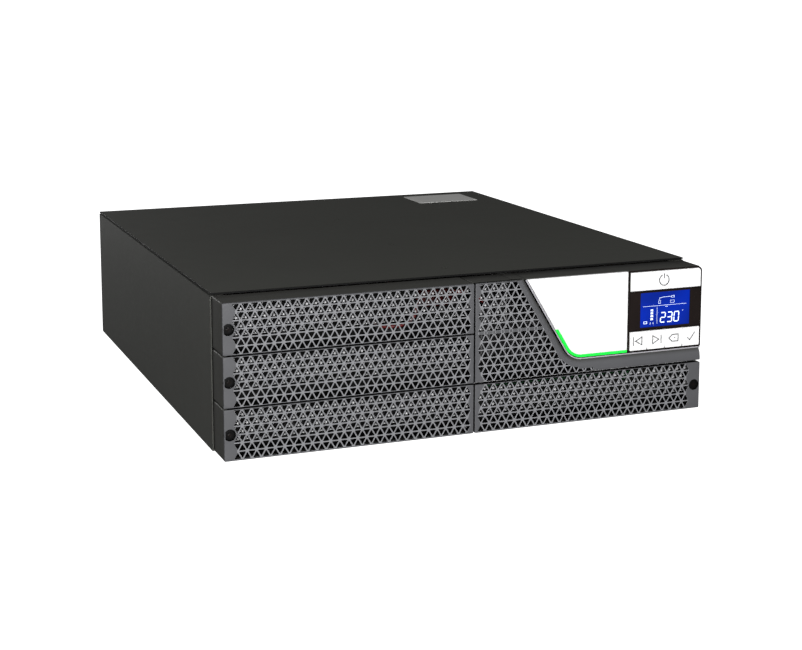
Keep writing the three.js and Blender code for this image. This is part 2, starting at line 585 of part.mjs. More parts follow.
function addRearPanel() {
  const [y0, y1] = [CASE_REAR - SHEET, CASE_REAR];
  const sheet = box(-INSIDE_X, INSIDE_X, y0, y1, FLOOR_TOP + GAP, INSIDE_TOP);
  const through = [y0 - PAST, y1 + PAST];
  const holeFor = ({ x, z, width, height }, trim) => faceBox(x, z, width - trim[0] + 2 * GAP,
    height - trim[1] + 2 * GAP, ...through);
  const holes = [
    ...FAN.columns.map((x) => cylinderY(FAN.bore - 0.5, x, FAN.z, ...through, 32)),
    faceBox(SLOT.x, SLOT.z, ...SLOT.throat, ...through),
    holeFor(SIGNALS, SIGNALS.trim),
    ...BANKS.map((bank) => holeFor({ ...BANK, z: bank.z }, BANK_TRIM)),
    holeFor(INLET, SOCKET_TRIM),
    holeFor(HIGH_OUTLET, SOCKET_TRIM),
    cylinderY(BREAKER.radius - 1, BREAKER.x, BREAKER.z, ...through, 16),
  ];
  addPart("rear_panel", "case_paint", cut(sheet, holes));
}

// A moulded socket body: a flange on the panel and a block that passes through it.
function socketBody({ x, z, width, height, depth }, trim) {
  return join([
    faceBox(x, z, width, height, PANEL_BACK, PANEL_BACK + FLANGE),
    faceBox(x, z, width - trim[0], height - trim[1], PANEL_BACK - depth, PANEL_BACK + 1),
  ]);
}

function addOutlets() {
  BANKS.forEach((bank) => {
    const recesses = Array.from({ length: BANK.count }, (unused, i) => {
      const x = BANK.x + (i - (BANK.count - 1) / 2) * BANK.pitch;
      return outletRecess(x, bank.z, BANK);
    });
    addPart(bank.name, "black_plastic", cut(socketBody({ ...BANK, z: bank.z }, BANK_TRIM),
      recesses.flat()));
  });
  const high = HIGH_OUTLET;
  addPart("outlet_high_current", "black_plastic", cut(socketBody(high, SOCKET_TRIM),
    outletRecess(high.x, high.z, high)));
}

// The mains inlet: an open shell, and three blades on a carrier at its root.
function addInlet() {
  const { x, z, mouth, depth } = INLET;
  const root = PANEL_BACK - depth;
  const cavity = faceBox(x, z, ...mouth, root - PAST, PANEL_BACK + FLANGE + PAST);
  addPart("inlet_shell", "black_plastic", cut(socketBody(INLET, SOCKET_TRIM), [cavity]));
  const carrier = faceBox(x, z, mouth[0] - 2 * GAP, mouth[1] - 2 * GAP, root, root + PINS.carrier);
  const pins = PINS.places.map(([dx, dz]) => faceBox(x + dx, z + dz, PINS.width, PINS.height,
    root + PINS.carrier - 1, PANEL_BACK - PINS.short));
  addPart("inlet_pins", "aluminium", join([carrier, ...pins]));
}

function addBreaker() {
  const { x, z, radius, bore, button } = BREAKER;
  const throat = PANEL_BACK - 8;
  addPart("breaker_body", "black_plastic", cut(join([
    cylinderY(radius, x, z, PANEL_BACK, PANEL_BACK + BREAKER.collar, 16),
    cylinderY(radius - 2, x, z, PANEL_BACK - BREAKER.depth, PANEL_BACK + 1, 16),
  ]), [cylinderY(bore, x, z, throat, PANEL_BACK + BREAKER.collar + PAST, 16)]));
  addPart("breaker_reset", "white_plastic", cylinderY(button, x, z, PANEL_BACK - 4.5,
    PANEL_BACK + BREAKER.proud, 16));
}

// The communication slot's cover with its two thumbscrews, and the plate with the signal sockets.
function addSlotAndSignals() {
  const cover = faceBox(SLOT.x, SLOT.z, SLOT.width, SLOT.height, PANEL_BACK, PANEL_BACK + SHEET);
  const knobs = [-1, 1].map((side) => cylinderY(SLOT.knob, SLOT.x,
    SLOT.z + side * (SLOT.height / 2 - SLOT.knobInset),
    PANEL_BACK + 1, CASE_REAR + REAR_PROUD, 14));
  addPart("slot_cover", "galvanised", join([cover, ...knobs]));

  const { x, z, width, height } = SIGNALS;
  const signalPlate = faceBox(x, z, width, height, PANEL_BACK, PANEL_BACK + SHEET);
  const [serial, usb, stop] = [SERIAL, USB, STOP].map((port) => faceBox(x, z + port.dz, ...port.size,
    PANEL_BACK - port.back, PANEL_BACK + port.proud));
  const usbZ = z + USB.dz;
  const usbMouth = cut(faceBox(x, usbZ, ...USB.mouth, PANEL_BACK - USB.pocket,
    PANEL_BACK + USB.proud + PAST),
    [faceBox(x, usbZ, ...USB.tongue, PANEL_BACK - USB.pocket - PAST, PANEL_BACK + 1)]);
  addPart("signal_ports", "black_plastic", cut(join([signalPlate, serial, usb, stop]), [usbMouth]));
}

function addLabel() {
  const { x, y, width, depth, gap, thick } = LABEL;
  const z0 = CASE.height + gap;
  addPart("rating_label", "label_grey", box(x - width / 2, x + width / 2, y - depth / 2, y + depth / 2, z0,
    z0 + thick));
}

addCase();
addCovers();
addDisplayBezel();
addFascia();
addDisplayModule();
addBatteryPack();
addElectronics();
FAN.columns.forEach((x, i) => addFan(x, i + 1));
addRearPanel();
addOutlets();
addInlet();
addBreaker();
addSlotAndSignals();
addLabel();

export default ups;
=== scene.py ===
"""The looks of a 3U uninterruptible power supply, built round its CAD frame. Metres, Z up, front at -Y."""
import json
import math
from contextlib import contextmanager

import bmesh
import bpy
from mathutils import Matrix, Vector
from mathutils.geometry import area_tri, delaunay_2d_cdt


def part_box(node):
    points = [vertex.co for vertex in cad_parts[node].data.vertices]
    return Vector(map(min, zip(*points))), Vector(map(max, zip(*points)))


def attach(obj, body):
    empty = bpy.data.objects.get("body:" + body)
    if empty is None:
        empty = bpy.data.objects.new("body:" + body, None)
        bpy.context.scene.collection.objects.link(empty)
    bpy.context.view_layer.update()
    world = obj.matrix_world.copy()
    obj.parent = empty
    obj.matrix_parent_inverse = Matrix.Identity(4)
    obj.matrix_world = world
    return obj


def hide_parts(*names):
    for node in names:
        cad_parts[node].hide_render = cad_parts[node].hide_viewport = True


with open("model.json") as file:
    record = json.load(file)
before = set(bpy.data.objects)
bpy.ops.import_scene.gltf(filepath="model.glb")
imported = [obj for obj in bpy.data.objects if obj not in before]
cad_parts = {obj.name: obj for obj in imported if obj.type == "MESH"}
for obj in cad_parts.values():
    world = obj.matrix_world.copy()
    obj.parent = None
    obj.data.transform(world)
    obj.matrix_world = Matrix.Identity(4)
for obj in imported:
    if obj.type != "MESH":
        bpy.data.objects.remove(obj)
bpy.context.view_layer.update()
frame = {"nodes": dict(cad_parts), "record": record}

MM = 0.001
NODES = frame["nodes"]
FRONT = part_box("cover_left_top")[0].y / MM
BODY_OF = {node: body for body, nodes in frame["record"]["behaviour"]["bodies"].items() for node in nodes}


def edges_of(node):
    """(x0, x1, y0, y1, z0, z1) of a CAD node, in millimetres."""
    low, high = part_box(node)
    return tuple(v / MM for pair in zip(low, high) for v in pair)


# ---------------------------------------------------------------- camera, floor and light

CAMERA = {"lens": 70.8, "sensor": 36, "shift": -0.15, "x": -0.532, "ahead": 1.215, "z": 0.388, "down": 8.43,
          "turn": 21.45}
FLOOR_REACH = 30
FLOOR_DROP = 0.0004
PALE = 1.3                 # how bright the camera sees the floor and the sky
FLOOR_LIGHT = 0.03         # how bright they light the object
SKY_LIGHT = 0.065


def add_camera():
    """The viewpoint: ahead of the front, to its left and above, with a small lens shift."""
    camera = bpy.data.objects.new("camera", bpy.data.cameras.new("camera"))
    bpy.context.scene.collection.objects.link(camera)
    camera.data.lens = CAMERA["lens"]
    camera.data.sensor_width = CAMERA["sensor"]
    camera.data.shift_y = CAMERA["shift"]
    camera.location = (CAMERA["x"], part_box("base_tray")[0].y - CAMERA["ahead"], CAMERA["z"])
    camera.rotation_euler = (math.radians(90 - CAMERA["down"]), 0, math.radians(-CAMERA["turn"]))
    bpy.context.scene.camera = camera


def add_area_light(name, place, target, size, watts):
    light = bpy.data.objects.new(name, bpy.data.lights.new(name, "AREA"))
    light.data.shape = "RECTANGLE"
    light.data.size, light.data.size_y = size
    light.data.energy = watts
    light.location = place
    light.rotation_euler = (Vector(target) - Vector(place)).to_track_quat("-Z", "Y").to_euler()
    bpy.context.scene.collection.objects.link(light)


def glow_by_ray(tree, seen, unseen):
    """One strength where the camera sees the surface, and another where it lights the object."""
    path = tree.nodes.new("ShaderNodeLightPath")
    choose = tree.nodes.new("ShaderNodeMapRange")
    choose.inputs["To Min"].default_value = unseen
    choose.inputs["To Max"].default_value = seen
    tree.links.new(path.outputs["Is Camera Ray"], choose.inputs["Value"])
    return choose.outputs[0]


def add_stage():
    """A wide pale floor under a pale sky, and soft boxes in front, at the right and behind."""
    mesh = bpy.data.meshes.new("floor")
    corners = [(x * FLOOR_REACH, y * FLOOR_REACH, 0) for x, y in ((-1, -1), (1, -1), (1, 1), (-1, 1))]
    mesh.from_pydata(corners, [], [(0, 1, 2, 3)])
    floor = bpy.data.objects.new("floor", mesh)
    floor.location.z = -FLOOR_DROP
    bpy.context.scene.collection.objects.link(floor)
    material, shader = new_material("floor_pale")
    shader.inputs["Base Color"].default_value = (0.2, 0.2, 0.2, 1)
    shader.inputs["Roughness"].default_value = 0.9
    shader.inputs["Specular IOR Level"].default_value = 0.1
    shader.inputs["Emission Color"].default_value = (1, 1, 1, 1)
    glow = glow_by_ray(material.node_tree, PALE, FLOOR_LIGHT)
    material.node_tree.links.new(glow, shader.inputs["Emission Strength"])
    mesh.materials.append(material)

    scene = bpy.context.scene
    scene.view_settings.view_transform = "Standard"
    world = bpy.data.worlds.new("sky")
    scene.world = world
    world.use_nodes = True
    sky = world.node_tree.nodes["Background"]
    sky.inputs["Color"].default_value = (1, 1, 1, 1)
    world.node_tree.links.new(glow_by_ray(world.node_tree, PALE, SKY_LIGHT), sky.inputs["Strength"])

    add_area_light("front_box", (-0.36, -1.6, 0.37), (-0.04, -0.25, 0.06), (0.55, 0.35), 24)
    add_area_light("rear_box", (-0.7, 3.0, 0.5), (0, 0.2, 0.06), (0.7, 0.5), 34)
    add_area_light("right_box", (2.6, -0.2, 0.7), (0.2, 0, 0.06), (1.2, 0.8), 14)


# ---------------------------------------------------------------- materials

def new_material(name):
    material = bpy.data.materials.new(name)
    material.use_nodes = True
    return material, material.node_tree.nodes["Principled BSDF"]


class Look:
    """A procedural finish: colour and roughness that drift, fine bump, and edges of another colour, darkened
    as painted shade.
    """

    def __init__(self, name, colour, roughness, metallic=0.0, specular=0.5):
        self.material, self.shader = new_material(name)
        self.tree = self.material.node_tree
        self.colour = colour
        self.shader.inputs["Metallic"].default_value = metallic
        self.shader.inputs["Specular IOR Level"].default_value = specular
        self.place = self.node("ShaderNodeTexCoord").outputs["Object"]
        self.base = roughness

    def node(self, kind, **values):
        made = self.tree.nodes.new(kind)
        for key, value in values.items():
            setattr(made, key, value)
        return made

    def link(self, source, target):
        self.tree.links.new(source, target)

    def noise(self, scale, detail=3.0, stretch=(1, 1, 1)):
        """Noise over the object's own coordinates; scale is in cells per metre."""
        texture = self.node("ShaderNodeTexNoise")
        texture.inputs["Scale"].default_value = scale
        texture.inputs["Detail"].default_value = detail
        if stretch == (1, 1, 1):
            self.link(self.place, texture.inputs["Vector"])
        else:
            mapping = self.node("ShaderNodeMapping")
            mapping.inputs["Scale"].default_value = stretch
            self.link(self.place, mapping.inputs["Vector"])
            self.link(mapping.outputs[0], texture.inputs["Vector"])
        return texture.outputs["Fac"]

    def span(self, value, low, high, from_low=0.3, from_high=0.7):
        made = self.node("ShaderNodeMapRange")
        made.inputs["From Min"].default_value = from_low
        made.inputs["From Max"].default_value = from_high
        made.inputs["To Min"].default_value = low
        made.inputs["To Max"].default_value = high
        self.link(value, made.inputs["Value"])
        return made.outputs[0]

    def mix(self, factor, first, second):
        made = self.node("ShaderNodeMix", data_type="RGBA")
        self.link(factor, made.inputs["Factor"])
        for socket, value in ((made.inputs[6], first), (made.inputs[7], second)):
            if isinstance(value, tuple):
                socket.default_value = (*value, 1)
            else:
                self.link(value, socket)
        return made.outputs[2]

    def edge_mask(self, radius=0.7 * MM):
        """1 on rounded or sharp edges, 0 on flats."""
        bevel = self.node("ShaderNodeBevel", samples=4)
        bevel.inputs["Radius"].default_value = radius
        flat = self.node("ShaderNodeNewGeometry")
        dot = self.node("ShaderNodeVectorMath", operation="DOT_PRODUCT")
        self.link(bevel.outputs[0], dot.inputs[0])
        self.link(flat.outputs["Normal"], dot.inputs[1])
        return self.span(dot.outputs["Value"], 1.0, 0.0, 0.86, 0.995)

    def painted_shade_depth_mask(self):
        """Painted shade mask: 0 on the bezel's front plane, 1 from a few millimetres behind it, where the
        colour darkens as painted shade.
        """
        parts = self.node("ShaderNodeSeparateXYZ")
        self.link(self.place, parts.inputs[0])
        front = FRONT * MM
        return self.span(parts.outputs["Y"], 0.0, 1.0, front + 0.4 * MM, front + 3.4 * MM)

    def bump(self, depth, height):
        """Relief of a depth in metres."""
        made = self.node("ShaderNodeBump")
        made.inputs["Strength"].default_value = 1.0
        made.inputs["Distance"].default_value = depth
        self.link(height, made.inputs["Height"])
        self.link(made.outputs["Normal"], self.shader.inputs["Normal"])

    def glow(self, strength, dark=None, light=None, scale=25.0, detail=3.0):
        """Light of its own: white, or drifting between two colours where they are given."""
        self.shader.inputs["Emission Strength"].default_value = strength
        self.shader.inputs["Emission Color"].default_value = (1, 1, 1, 1)
        if dark:
            colour = self.mix(self.span(self.noise(scale, detail), 0, 1), dark, light)
            self.link(colour, self.shader.inputs["Emission Color"])

    def spangle(self, dark, light, scale=160):
        """The crystals of a zinc coat, in place of the drifting colour."""
        cells = self.node("ShaderNodeTexVoronoi", feature="F1")
        cells.inputs["Scale"].default_value = scale
        self.link(self.place, cells.inputs["Vector"])
        colour = self.mix(self.span(cells.outputs["Color"], 0, 1, 0.0, 1.0), dark, light)
        self.link(colour, self.shader.inputs["Base Color"])

    def finish(self, drift=0.12, roughness_drift=0.08, patch=9.0, wear=0.0, wear_colour=None, speckle=0.0,
               speckle_scale=2500.0, edge=0.0, edge_colour=None, edge_width=0.5, deep_colour=None):
        """Colour drifts between patches, with optional speckle, worn edges, edges darkened as painted shade,
        and painted shade behind the front plane.
        """
        dark = tuple(c * (1 - drift) for c in self.colour)
        light = tuple(min(1.0, c * (1 + drift)) for c in self.colour)
        colour = self.mix(self.span(self.noise(patch), 0, 1), dark, light)
        # Painted shade: the colour darkens a few millimetres behind the front plane, in the cove, the holes
        # and on the walls.
        if deep_colour:
            colour = self.mix(self.painted_shade_depth_mask(), colour, deep_colour)
        if speckle:
            bright = tuple(min(1.0, c * (1 + speckle)) for c in self.colour)
            colour = self.mix(self.span(self.noise(speckle_scale, 1.0), 0, 1, 0.58, 0.72), colour, bright)
        # Painted shade: edges darken towards the edge colour, standing in for shadow lines.
        if edge:
            edge_shade_amount = self.node("ShaderNodeMath", operation="MULTIPLY")
            self.link(self.edge_mask(edge_width * MM), edge_shade_amount.inputs[0])
            edge_shade_amount.inputs[1].default_value = edge
            colour = self.mix(edge_shade_amount.outputs[0], colour, edge_colour)
        if wear:
            patchy = self.node("ShaderNodeMath", operation="MULTIPLY")
            self.link(self.edge_mask(), patchy.inputs[0])
            self.link(self.span(self.noise(60.0), 0, wear), patchy.inputs[1])
            colour = self.mix(patchy.outputs[0], colour, wear_colour or light)
        self.link(colour, self.shader.inputs["Base Color"])
        rough = self.span(self.noise(patch * 5), self.base - roughness_drift, self.base + roughness_drift)
        self.link(rough, self.shader.inputs["Roughness"])


def grey(level):
    return (level, level, level)


def finished(name, colour, roughness, relief=None, metallic=0.0, specular=0.5, **finish):
    """A look by name; relief is (depth in metres, cells per metre, detail and, if need be, stretch)."""
    look = Look(name, colour, roughness, metallic, specular)
    look.finish(**finish)
    if relief:
        look.bump(relief[0], look.noise(*relief[1:]))
    return look


def make_materials():
    moulded = (3e-5, 1600, 2)
    looks = {
        # The case paint's edges darken almost to black: painted shade lines.
        "case_paint": finished(
            "case_paint", (0.092, 0.094, 0.083), 0.50, (3e-5, 1500, 2), specular=0.22, drift=0.03,
            roughness_drift=0.03, wear=0.05, wear_colour=(0.16, 0.16, 0.15), speckle=0.08,
            speckle_scale=2200.0, edge=0.97, edge_colour=grey(0.003), edge_width=1.0),
        # The bezel's edges darken a little, and it turns darker and olive behind its front plane: painted
        # shade.
        "bezel_plastic": finished(
            "bezel_plastic", (0.098, 0.099, 0.105), 0.52, moulded, specular=0.3, drift=0.04, edge=0.35,
            edge_colour=(0.04, 0.04, 0.044), speckle=0.06, wear=0.05, wear_colour=(0.2, 0.2, 0.21),
            deep_colour=(0.072, 0.072, 0.064)),
    }
    plain = (
        ("galvanised", (0.50, 0.51, 0.52), 0.38, (3e-5, 300),
         {"metallic": 0.85, "drift": 0.12, "patch": 30.0}),
        # Near black steel, painted shade: the interior seen through the grille and the lid's side faces.
        ("dark_steel_painted_shade", grey(0.007), 0.6, (3e-5, 700),
         {"specular": 0.08, "drift": 0.1, "patch": 30.0, "wear": 0.25, "wear_colour": grey(0.03)}),
        ("screen_steel", (0.62, 0.62, 0.63), 0.4, (3e-5, 700),
         {"metallic": 0.3, "specular": 0.4, "drift": 0.35, "patch": 120.0}),
        # The struts are lighter than the bezel's plastic: a painted highlight.
        ("bezel_strut_highlight", (0.236, 0.238, 0.25), 0.5, moulded,
         {"specular": 0.3, "drift": 0.05, "speckle": 0.05}),
        # Near black for holes, seams and back faces: painted shade.
        ("bezel_painted_shade", grey(0.006), 0.7, moulded, {"specular": 0.03, "drift": 0.08}),
        # The rim by the fascia, light grey: a painted highlight.
        ("bezel_lip_highlight", (0.42, 0.41, 0.44), 0.35, (1e-5, 900), {"specular": 0.4, "drift": 0.05, "patch": 60.0}),
        ("white_plastic", grey(0.93), 0.32, (8e-6, 700, 1),
         {"drift": 0.006, "roughness_drift": 0.03, "patch": 20.0}),
        ("icon_grey", (0.05, 0.05, 0.052), 0.5, None, {"drift": 0.08, "patch": 300.0}),
        ("black_plastic", (0.008, 0.008, 0.009), 0.45, (4e-5, 1500, 2),
         {"specular": 0.25, "drift": 0.2, "wear": 0.5, "wear_colour": grey(0.05)}),
        ("black_gloss", (0.014, 0.010, 0.009), 0.22, (1e-5, 60, 1),
         {"specular": 0.2, "drift": 0.15, "roughness_drift": 0.04, "patch": 40.0}),
        ("screw_black", grey(0.004), 0.5, (3e-5, 900),
         {"specular": 0.08, "drift": 0.2, "wear": 0.25, "wear_colour": grey(0.04)}),
        ("light_green", (0.02, 0.70, 0.06), 0.3, None, {"drift": 0.05, "patch": 60.0}),
        ("lcd_blue", (0.002, 0.006, 0.06), 0.2, None,
         {"specular": 0.15, "drift": 0.1, "roughness_drift": 0.03, "patch": 50.0}),
        ("lcd_white", (0.6, 0.7, 0.9), 0.4, None, {"drift": 0.03, "patch": 80.0}),
        ("circuit_board", (0.018, 0.085, 0.032), 0.4, (4e-5, 1000), {"drift": 0.2, "patch": 120.0}),
        ("battery_case", (0.030, 0.031, 0.036), 0.5, (4e-5, 1200),
         {"drift": 0.12, "wear": 0.4, "wear_colour": (0.09, 0.09, 0.10)}),
        ("aluminium", (0.62, 0.62, 0.63), 0.36, (3e-5, 500, 2, (1, 0.02, 1)),
         {"metallic": 0.95, "drift": 0.06, "patch": 40.0}),
        ("copper", (0.45, 0.16, 0.06), 0.35, (1e-4, 700), {"metallic": 0.7, "drift": 0.2, "patch": 200.0}),
        ("red_wire", (0.15, 0.006, 0.005), 0.45, (3e-5, 600), {"drift": 0.1, "patch": 60.0}),
        ("light_terminal", (0.05, 0.22, 0.08), 0.45, (2e-5, 900), {"drift": 0.08, "patch": 90.0}),
        ("connector_red", (0.03, 0.002, 0.002), 0.4, (3e-5, 600),
         {"specular": 0.2, "drift": 0.1, "patch": 60.0}),
        ("label_grey", (0.88, 0.88, 0.855), 0.6, (1e-5, 1500), {"drift": 0.04, "patch": 60.0}),
    )
    for name, colour, roughness, relief, settings in plain:
        looks[name] = finished(name, colour, roughness, relief, **settings)
    looks["galvanised"].spangle((0.47, 0.48, 0.50), (0.54, 0.55, 0.56))
    # The white plastic glows a little: painted light that keeps it bright white.
    looks["white_plastic"].glow(0.13)
    looks["light_green"].glow(0.75, (0.0, 0.78, 0.035), (0.0, 0.90, 0.05))
    looks["lcd_blue"].glow(1.0, (0.002, 0.014, 0.22), (0.001, 0.022, 0.42), 35.0, 1.0)
    looks["lcd_white"].glow(1.0, (0.70, 0.82, 1.0), (0.85, 0.93, 1.0), 90.0)
    return {name: look.material for name, look in looks.items()}


# ---------------------------------------------------------------- mesh helpers (millimetres in, metres out)

@contextmanager
def editing(mesh):
    """A bmesh copy of a mesh, written back to it at the end."""
    work = bmesh.new()
    work.from_mesh(mesh)
    yield work
    work.to_mesh(mesh)
    work.free()


def shade(mesh, angle=32):
    """Smooth faces with hard edges above an angle."""
    with editing(mesh) as work:
        for face in work.faces:
            face.smooth = True
        for edge in work.edges:
            edge.smooth = len(edge.link_faces) == 2 and edge.calc_face_angle(0) < math.radians(angle)


def add_piece(name, mesh, node, slot, material=None, stands=False, more=()):
    """Links a finished mesh. It rides on the CAD node's body, and stands for the node where stands is set."""
    shade(mesh)
    piece = bpy.data.objects.new(name, mesh)
    bpy.context.scene.collection.objects.link(piece)
    for finish in (material or slot, *more):
        mesh.materials.append(MATERIALS[finish])
    if not more:
        for face in mesh.polygons:
            face.material_index = 0
    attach(piece, BODY_OF[node])
    if stands:
        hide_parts(node)


def mesh_from(vertices, faces):
    mesh = bpy.data.meshes.new("mesh")
    mesh.from_pydata([Vector(v) * MM for v in vertices], [], faces)
    with editing(mesh) as work:
        bmesh.ops.remove_doubles(work, verts=work.verts, dist=1e-6)
        bmesh.ops.recalc_face_normals(work, faces=work.faces)
    return mesh


def join_meshes(meshes):
    joined = bpy.data.meshes.new("mesh")
    with editing(joined) as work:
        for mesh in meshes:
            work.from_mesh(mesh)
    return joined


def rounded_box(x0, x1, y0, y1, z0, z1, radius=0.5, segments=2):
    mesh = bpy.data.meshes.new("box")
    with editing(mesh) as work:
        bmesh.ops.create_cube(work, size=1)
        for vertex in work.verts:
            vertex.co = Vector((
                (x0 + x1) / 2 + vertex.co.x * (x1 - x0),
                (y0 + y1) / 2 + vertex.co.y * (y1 - y0),
                (z0 + z1) / 2 + vertex.co.z * (z1 - z0))) * MM
        bmesh.ops.bevel(work, geom=work.edges[:], offset=radius * MM, segments=segments, profile=0.5,
                        affect="EDGES", clamp_overlap=True)
    return mesh


def lathe_y(profile, x, z, steps=40):
    """Turns (radius, y) points about a Y axis through x, z. Points on the axis close it."""
    vertices, faces, rows = [], [], []
    for radius, y in profile:
        if radius < 1e-6:
            rows.append([len(vertices)] * steps)
            vertices.append((x, y, z))
            continue
        rows.append(list(range(len(vertices), len(vertices) + steps)))
        for i in range(steps):
            turn = 2 * math.pi * i / steps
            vertices.append((x + radius * math.cos(turn), y, z + radius * math.sin(turn)))
    for first, second in zip(rows, rows[1:]):
        for i in range(steps):
            j = (i + 1) % steps
            corners = [first[i], first[j], second[j], second[i]]
            faces.append(list(dict.fromkeys(corners)))
    return mesh_from(vertices, [f for f in faces if len(f) > 2])


def loft(rings, closed=False):
    """Quads between rings of points. The end rings are capped unless the rings close on themselves."""
    sides, count = len(rings[0]), len(rings)
    faces = []
    for i in range(count if closed else count - 1):
        a, b = i * sides, (i + 1) % count * sides
        for k in range(sides):
            m = (k + 1) % sides
            faces.append((a + k, a + m, b + m, b + k))
    if not closed:
        faces += [tuple(range(sides)), tuple(range((count - 1) * sides, count * sides))]
    return mesh_from([point for ring in rings for point in ring], faces)


def tube(points, radius, sides=12, closed=False):
    """A round tube through the points."""
    points = [Vector(p) for p in points]
    count = len(points)
    rings = []
    side = None
    for i, point in enumerate(points):
        before = points[i - 1] if i or closed else point
        after = points[(i + 1) % count] if i < count - 1 or closed else point
        along = (after - before).normalized()
        if side is None:
            side = along.orthogonal().normalized()
        side = (side - along * side.dot(along)).normalized()
        across = along.cross(side)
        turns = [2 * math.pi * k / sides for k in range(sides)]
        rings.append([point + radius * (side * math.cos(turn) + across * math.sin(turn)) for turn in turns])
    return loft(rings, closed)


def ribbon(points, width, y, thick=0.08, closed=False):
    """A flat stroke of even width in the XZ plane, its front at y."""
    points = [Vector((p[0], p[1])) for p in points]
    count = len(points)
    left, right = [], []
    for i, point in enumerate(points):
        before = points[i - 1] if i or closed else None
        after = points[(i + 1) % count] if i < count - 1 or closed else None
        first = (point - before).normalized() if before is not None else None
        second = (after - point).normalized() if after is not None else None
        first, second = first or second, second or first
        normal = Vector((-(first + second).y, (first + second).x)).normalized()
        reach = width / 2 / max(0.4, normal.dot(Vector((-second.y, second.x))))
        left.append(point + normal * reach)
        right.append(point - normal * reach)
    vertices = [(p.x, yy, p.y) for yy in (y, y + thick) for p in left + right]
    faces = []
    layer = 2 * count
    for i in range(count if closed else count - 1):
        j = (i + 1) % count
        a, b, c, d = i, j, count + j, count + i
        faces += [(a, b, c, d), (a + layer, d + layer, c + layer, b + layer)]
        faces += [(a, a + layer, b + layer, b), (d, c, c + layer, d + layer)]
    if not closed:
        for i in (0, count - 1):
            faces.append((i, count + i, count + i + layer, i + layer))
    return mesh_from(vertices, faces)


def offset_loop(loop, distance):
    """A closed loop moved to its left by a distance, with mitred corners."""
    moved = []
    count = len(loop)
    for i, point in enumerate(loop):
        before, after = Vector(loop[i - 1]), Vector(loop[(i + 1) % count])
        here = Vector(point)
        first, second = (here - before).normalized(), (after - here).normalized()
        a, b = Vector((-first.y, first.x)), Vector((-second.y, second.x))
        bisector = (a + b).normalized()
        moved.append(tuple(here + bisector * distance / max(0.35, bisector.dot(a))))
    return moved


def area_of(loop):
    return sum(a[0] * b[1] - b[0] * a[1] for a, b in zip(loop, loop[1:] + loop[:1])) / 2


def rectangle(x0, x1, z0, z1):
    return [(x0, z0), (x1, z0), (x1, z1), (x0, z1)]


def rounded_outline(corners, radii, steps=5):
    """A closed anticlockwise outline with each corner rounded by its own radius."""
    outline = []
    count = len(corners)
    for i, corner in enumerate(corners):
        here = Vector(corner)
        radius = radii[i] if isinstance(radii, (list, tuple)) else radii
        before = (Vector(corners[i - 1]) - here).normalized()
        after = (Vector(corners[(i + 1) % count]) - here).normalized()
        if radius < 1e-6:
            outline.append(tuple(here))
            continue
        half = before.angle(after) / 2
        start = here + before * radius / math.tan(half)
        end = here + after * radius / math.tan(half)
        centre = here + (before + after).normalized() * radius / math.sin(half)
        a0 = math.atan2(start.y - centre.y, start.x - centre.x)
        a1 = math.atan2(end.y - centre.y, end.x - centre.x)
        turn = (a1 - a0 + math.pi) % (2 * math.pi) - math.pi
        for k in range(steps + 1):
            angle = a0 + turn * k / steps
            outline.append((centre.x + radius * math.cos(angle), centre.y + radius * math.sin(angle)))
    return outline


# The finishes of a panel's faces: outside; in its holes and seams, near black as painted shade; and on the
# struts between grille holes, lighter as a painted highlight.
PLAIN, DEEP, STRUT = 0, 1, 2
SHORT_WALL = 10.0          # a wall up to this deep is a seam's
STRUT_HEIGHT = 1.15        # a triangle narrower than this lies on a strut
GRILLE_HOLE_POINTS = 20    # a hole with fewer points than this belongs to the grille


def triangulate(rings, inner):
    """Triangles that follow closed rings and open inner lines.

    Gives the points, each triangle's three point numbers, and the rings that each point lies on."""
    flat, owner, constraints = [], [], []

    def add_line(line, number, closed):
        start, count = len(flat), len(line)
        flat.extend(Vector(p) for p in line)
        owner.extend([number] * count)
        last = count if closed else count - 1
        constraints.extend((start + i, start + (i + 1) % count) for i in range(last))

    for number, loop in enumerate(rings):
        add_line(loop, number, True)
    for line in inner:
        add_line(line, -1, False)
    points, _, triangles, origin, _, _ = delaunay_2d_cdt(flat, constraints, [], 1, 1e-5)
    return points, triangles, [{owner[k] for k in ids} for ids in origin]


